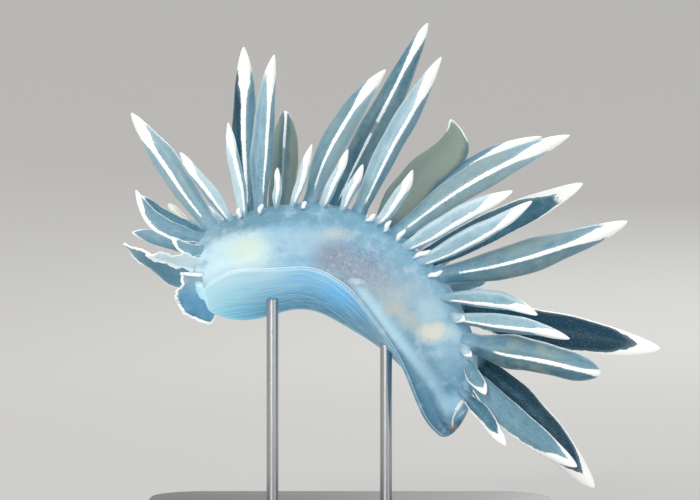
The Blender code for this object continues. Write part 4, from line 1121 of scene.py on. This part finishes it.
def clubSurface(sideways, turn, lean):
    # A turned stalk and club: leaves are a row of sharp ridges down the club, slanting from front to back
    shape = clubShape
    up = heading(turn, lean)
    side = unit(np.cross([0.0, 1.0, 0.0], up))
    front = np.cross(up, side)
    foot = inFrame(shape["place"], 0.0, sideways, shape["height"])
    around = np.linspace(0, 2 * np.pi, shape["sides"], endpoint=False)
    share, angle = crossed(np.linspace(0, 1, shape["rows"]) ** 0.9, around)
    height = mixed(-shape["sunk"], shape["length"], share)
    part = height / shape["length"]
    club = fade(*shape["starts"], part)
    fromMiddle = (part - shape["middle"]) / shape["reach"]
    swollen = shape["club"] * np.sqrt(np.clip(1 - fromMiddle**2, 0, 1)) ** 0.8
    slanted = part * shape["leaves"] * 1.65 + shape["slant"] * np.cos(angle)
    ridge = 1 - shape["ridge"] + shape["ridge"] * np.abs(np.sin(np.pi * slanted)) ** 0.6
    knob = fade(*shape["knob"], part)
    radius = mixed(shape["stalk"] * (1.1 - 0.2 * part), swollen * mixed(ridge, 1.0, knob), club)
    radius = np.maximum(radius, 0.02)
    rings = foot + (up * height[..., None] + side * (radius * np.cos(angle))[..., None]
                    + front * (radius * np.sin(angle))[..., None])
    marks = dict(clubPlace=np.stack([part, ridge, club], -1))
    return tubeSurface(rings, foot - up * shape["sunk"], foot + up * shape["length"], marks)


def clubFinish():
    # Cream club with darker grooves between its leaves, on a clear blue stalk
    club = Finish("cream rhinophore")
    place = club.place()
    part, ridge, swollen = club.mark("clubPlace")
    fine = club.noise(place, 3.5, 3.0, 0.6)
    raised = club.fade(ridge + (fine - 0.5) * 0.08, 0.82, 0.96)
    cream = club.blend(raised, tint(176, 176, 156), tint(242, 240, 224))
    tipped = club.paint(cream, (club.fade(part, 0.78, 0.88), (246, 246, 236)))
    colour = club.blend(swollen, tint(150, 186, 204), tipped)
    return club.cover({
        "Base Color": colour,
        "Roughness": 0.30 + fine * 0.16,
        "Normal": club.bump(fine, 0.10, 0.5)}, {**wetFlesh, "Emission Strength": 0.0})


# Stand

standShape = dict(
    length=104.0,
    width=76.0,
    height=5.0,
    corner=14.0,
    bevel=0.8,
    cornerSteps=24,
    bevelSteps=6,
    rodRadius=1.5,
    rodEase=0.2,                  # eased edge at a rod's ends
    rodSides=48,
    rodRows=30)


def slabSurface():
    # A slab: its outline, straight sides with quarter circle corners, is carried up an eased profile
    stand = standShape
    turns = np.linspace(0, np.pi / 2, stand["cornerSteps"])
    reach = np.array([stand["length"], stand["width"]]) / 2 - stand["corner"]
    signs = np.array([(1, 1), (-1, 1), (-1, -1), (1, -1)])
    centres = np.repeat(signs * reach, len(turns), axis=0)
    angle = (turns + np.arange(4)[:, None] * np.pi / 2).ravel()
    spokes = np.stack([np.cos(angle), np.sin(angle)], -1)
    ease = np.linspace(0, np.pi / 2, stand["bevelSteps"])
    inset = stand["bevel"] * (1 - np.sin(ease))
    rise = stand["bevel"] * (1 - np.cos(ease))
    inward = np.concatenate([[stand["corner"] * 0.9], inset, inset[::-1], [stand["corner"] * 0.9]])
    height = np.concatenate([[0], rise, stand["height"] - rise[::-1], [stand["height"]]])
    radius = stand["corner"] - inward
    flat = centres[None] + spokes[None] * radius[:, None, None]
    rings = np.concatenate([flat, np.broadcast_to(height[:, None, None], flat.shape[:2] + (1,))], -1)
    edge = np.broadcast_to(fade(1.2, 0.0, inward)[:, None], flat.shape[:2])
    marks = dict(standEdge=np.stack([edge, edge * 0, edge * 0], -1))
    return tubeSurface(rings, np.zeros(3), np.array([0.0, 0.0, stand["height"]]), marks)


def rodSurface(node):
    # A round rod between the frame's lowest and highest points of it, its ends eased
    low, high = (np.array(corner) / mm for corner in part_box(node))
    centre = (low + high) / 2
    stand = standShape
    ease, radius = stand["rodEase"], stand["rodRadius"]
    shaft = np.linspace(low[2] + 1, high[2] - 1, stand["rodRows"])
    heights = np.concatenate([[low[2], low[2] + ease], shaft, [high[2] - ease, high[2]]])
    radii = np.full(len(heights), radius)
    radii[[0, -1]] = radius - ease
    angle = np.linspace(0, 2 * np.pi, stand["rodSides"], endpoint=False)
    x = centre[0] + radii[:, None] * np.cos(angle)
    y = centre[1] + radii[:, None] * np.sin(angle)
    z = np.broadcast_to(heights[:, None], x.shape)
    rings = np.stack([x, y, z], -1)
    edge = np.broadcast_to(np.cos(angle), x.shape)
    marks = dict(rodRound=np.stack([edge, np.broadcast_to(np.sin(angle), x.shape), z], -1))
    foot, top = (np.array([centre[0], centre[1], corner[2]]) for corner in (low, high))
    return tubeSurface(rings, foot, top, marks)


def slabFinish():
    # Satin dark acrylic with a faint orange peel, a paler eased edge and a little dust
    slab = Finish("satin dark acrylic")
    place = slab.place()
    edge = slab.mark("standEdge")[0]
    peel = slab.noise(place, 0.35, 2.0)
    dust = slab.fade(slab.noise(place, 2.6, 4.0, 0.7), 0.66, 0.80)
    cloud = slab.noise(place, 0.05, 3.0)
    colour = slab.blend(cloud, tint(52, 56, 60), tint(66, 70, 75))
    colour = slab.paint(colour, (edge * 0.5, (104, 110, 116)), (dust * 0.25, (150, 154, 156)))
    return slab.cover({
        "Base Color": colour,
        "Roughness": 0.30 + cloud * 0.12 + dust * 0.2,
        "Normal": slab.bump(peel, 0.06, 0.3)}, {"Coat Weight": 0.3, "Coat Roughness": 0.2, "IOR": 1.49})


def rodFinish():
    # Satin steel drawn lengthwise
    rod = Finish("satin steel rod")
    cosine, sine, height = rod.mark("rodRound")
    drawn = rod.noise(rod.join(cosine * 14.0, sine * 14.0, height * 0.10), 1.0, 4.0, 0.65)
    smudge = rod.noise(rod.place(), 0.12, 2.0)
    colour = rod.blend(drawn, tint(164, 167, 170), tint(204, 206, 208))
    return rod.cover({
        "Base Color": colour,
        "Roughness": 0.22 + drawn * 0.16 + smudge * 0.08,
        "Normal": rod.bump(drawn, 0.02, 0.4)}, {"Metallic": 1.0})


# Stage, lights and camera

paperSurface = {
    "Roughness": 0.9,
    "Specular IOR Level": 0.1,
    "Emission Color": (1.0, 0.985, 0.965, 1.0),   # light that the paper passes from behind
    "Emission Strength": 0.34}


stageShape = dict(floor=800.0, curve=2300.0, wall=2600.0, sides=128)


def stageBowl():
    # A round floor that curves up into a wall: a profile of radius and height turned about the middle
    floorReach, curve, wall = (stageShape[name] for name in ("floor", "curve", "wall"))
    flat = np.linspace(0, floorReach, 12)[1:]
    turns = np.linspace(0, np.pi / 2, 30)[1:]
    radius = np.concatenate([flat, floorReach + curve * np.sin(turns), [floorReach + curve]])
    height = np.concatenate([flat * 0, curve * (1 - np.cos(turns)), [wall]])
    angle = np.linspace(0, 2 * np.pi, stageShape["sides"], endpoint=False)
    rings = np.stack([radius[:, None] * np.cos(angle), radius[:, None] * np.sin(angle),
                      np.broadcast_to(height[:, None], (len(radius), len(angle)))], -1)
    rows, sides = rings.shape[:2]
    faces = ringQuads(rows, sides)[:, ::-1].tolist()
    faces += [[rows * sides, k, (k + 1) % sides] for k in range(sides)]
    points = np.concatenate([rings.reshape(-1, 3), [[0, 0, 0]]]) * mm
    mesh = bpy.data.meshes.new("stageFloor")
    mesh.from_pydata(points.tolist(), [], faces)
    mesh.shade_smooth()
    paper = Finish("pale studio paper")
    grain = paper.noise(paper.place(), 0.4, 3.0)
    colour = paper.blend(grain, tint(140, 139, 136), tint(146, 145, 142))
    mesh.materials.append(paper.cover({"Base Color": colour}, paperSurface))
    bowl = bpy.data.objects.new("stageFloor", mesh)
    bpy.context.scene.collection.objects.link(bowl)


studioLights = (
    # name, place, size across, watts, colour
    ("keyLight", (-0.60, -1.05, 0.85), 0.60, 8.0, (1.0, 0.995, 0.98)),
    ("fillLight", (0.95, -1.00, 0.25), 0.90, 4.0, (0.97, 0.99, 1.0)),
    ("lowLight", (-0.35, -1.00, 0.06), 0.50, 2.5, (1.0, 1.0, 1.0)),
    ("topLight", (0.00, 0.20, 1.50), 0.90, 4.0, (0.98, 0.99, 1.0)),
    ("backLight", (0.30, 1.15, 0.70), 0.60, 6.5, (0.95, 0.98, 1.0)))


def addLights():
    for name, place, size, watts, colour in studioLights:
        light = bpy.data.lights.new(name, "AREA")
        light.shape = "DISK"
        light.size = size
        light.energy = watts
        light.color = colour
        lamp = bpy.data.objects.new(name, light)
        lamp.location = place
        towards = np.array([0.0, 0.0, 0.07]) - np.array(place)
        lamp.rotation_euler = Vector(towards.tolist()).to_track_quat("-Z", "Y").to_euler()
        bpy.context.scene.collection.objects.link(lamp)
    world = bpy.data.worlds.new("studio")
    world.use_nodes = True
    world.node_tree.nodes["Background"].inputs["Color"].default_value = (0.97, 0.985, 1.0, 1.0)
    world.node_tree.nodes["Background"].inputs["Strength"].default_value = 0.35
    bpy.context.scene.world = world


photoView = dict(distance=0.600, height=0.069, widthAtModel=0.175, sensor=36.0)


def addCamera():
    # Level, square to the animal's side; the lens shows the photo's width at the model's middle
    view = photoView
    camera = bpy.data.cameras.new("camera")
    camera.sensor_width = view["sensor"]
    camera.lens = view["sensor"] * view["distance"] / view["widthAtModel"]
    camera.clip_start = 0.01
    eye = bpy.data.objects.new("camera", camera)
    eye.location = (0.0, -view["distance"], view["height"])
    eye.rotation_euler = (np.pi / 2, 0.0, 0.0)
    bpy.context.scene.collection.objects.link(eye)
    bpy.context.scene.camera = eye


# Put together

leaves = allLeaves()
everyLeaf = [leaf for group in leaves.values() for build, leaf in group]
roots = [(skinPoint(leaf["place"], leaf["row"]), leaf["width"]) for leaf in everyLeaf]
bodyNodes = ("head", "body_front", "body_middle", "body_rear", "tail")
fleshNodes = bodyNodes + ("foot_front", "foot_middle", "foot_rear")
addPiece("bodySkin", [skinSurface(roots)], fleshFinish(), fleshNodes)

leafMaterial = leafFinish()
leafNodes = dict(cerataLeft=bodyNodes, cerataRight=bodyNodes, cerataHead=bodyNodes[:1])
seed = 0
for name, group in leaves.items():
    surfaces = []
    for build, leaf in group:
        seed += 1
        surfaces.append(leafSurface(build, seed=seed, **leaf))
    addPiece(name, surfaces, leafMaterial, leafNodes[name])
print("cerata done")

veilMaterial = veilFinish()
for node, lobe in veilLobes.items():
    addPiece(node.replace("_", "") + "Skin", [veilLobe(**lobe)], veilMaterial, (node,))
addPiece("veilFrontSkin", [veilFrontSurface()], veilMaterial, ("veil_front",))
clubMaterial = clubFinish()
for node, club in clubs.items():
    addPiece(node.replace("_", "") + "Skin", [clubSurface(**club)], clubMaterial, (node,))
print("veil and rhinophores done")

addPiece("standSlab", [slabSurface()], slabFinish(), ("stand_base",))
rodMaterial = rodFinish()
for node in ("stand_rod_front", "stand_rod_rear"):
    addPiece(node.replace("_", "") + "Steel", [rodSurface(node)], rodMaterial, (node,))

stageBowl()
addLights()
addCamera()
bpy.context.scene.view_settings.view_transform = "Standard"
print("stage, lights and camera done")
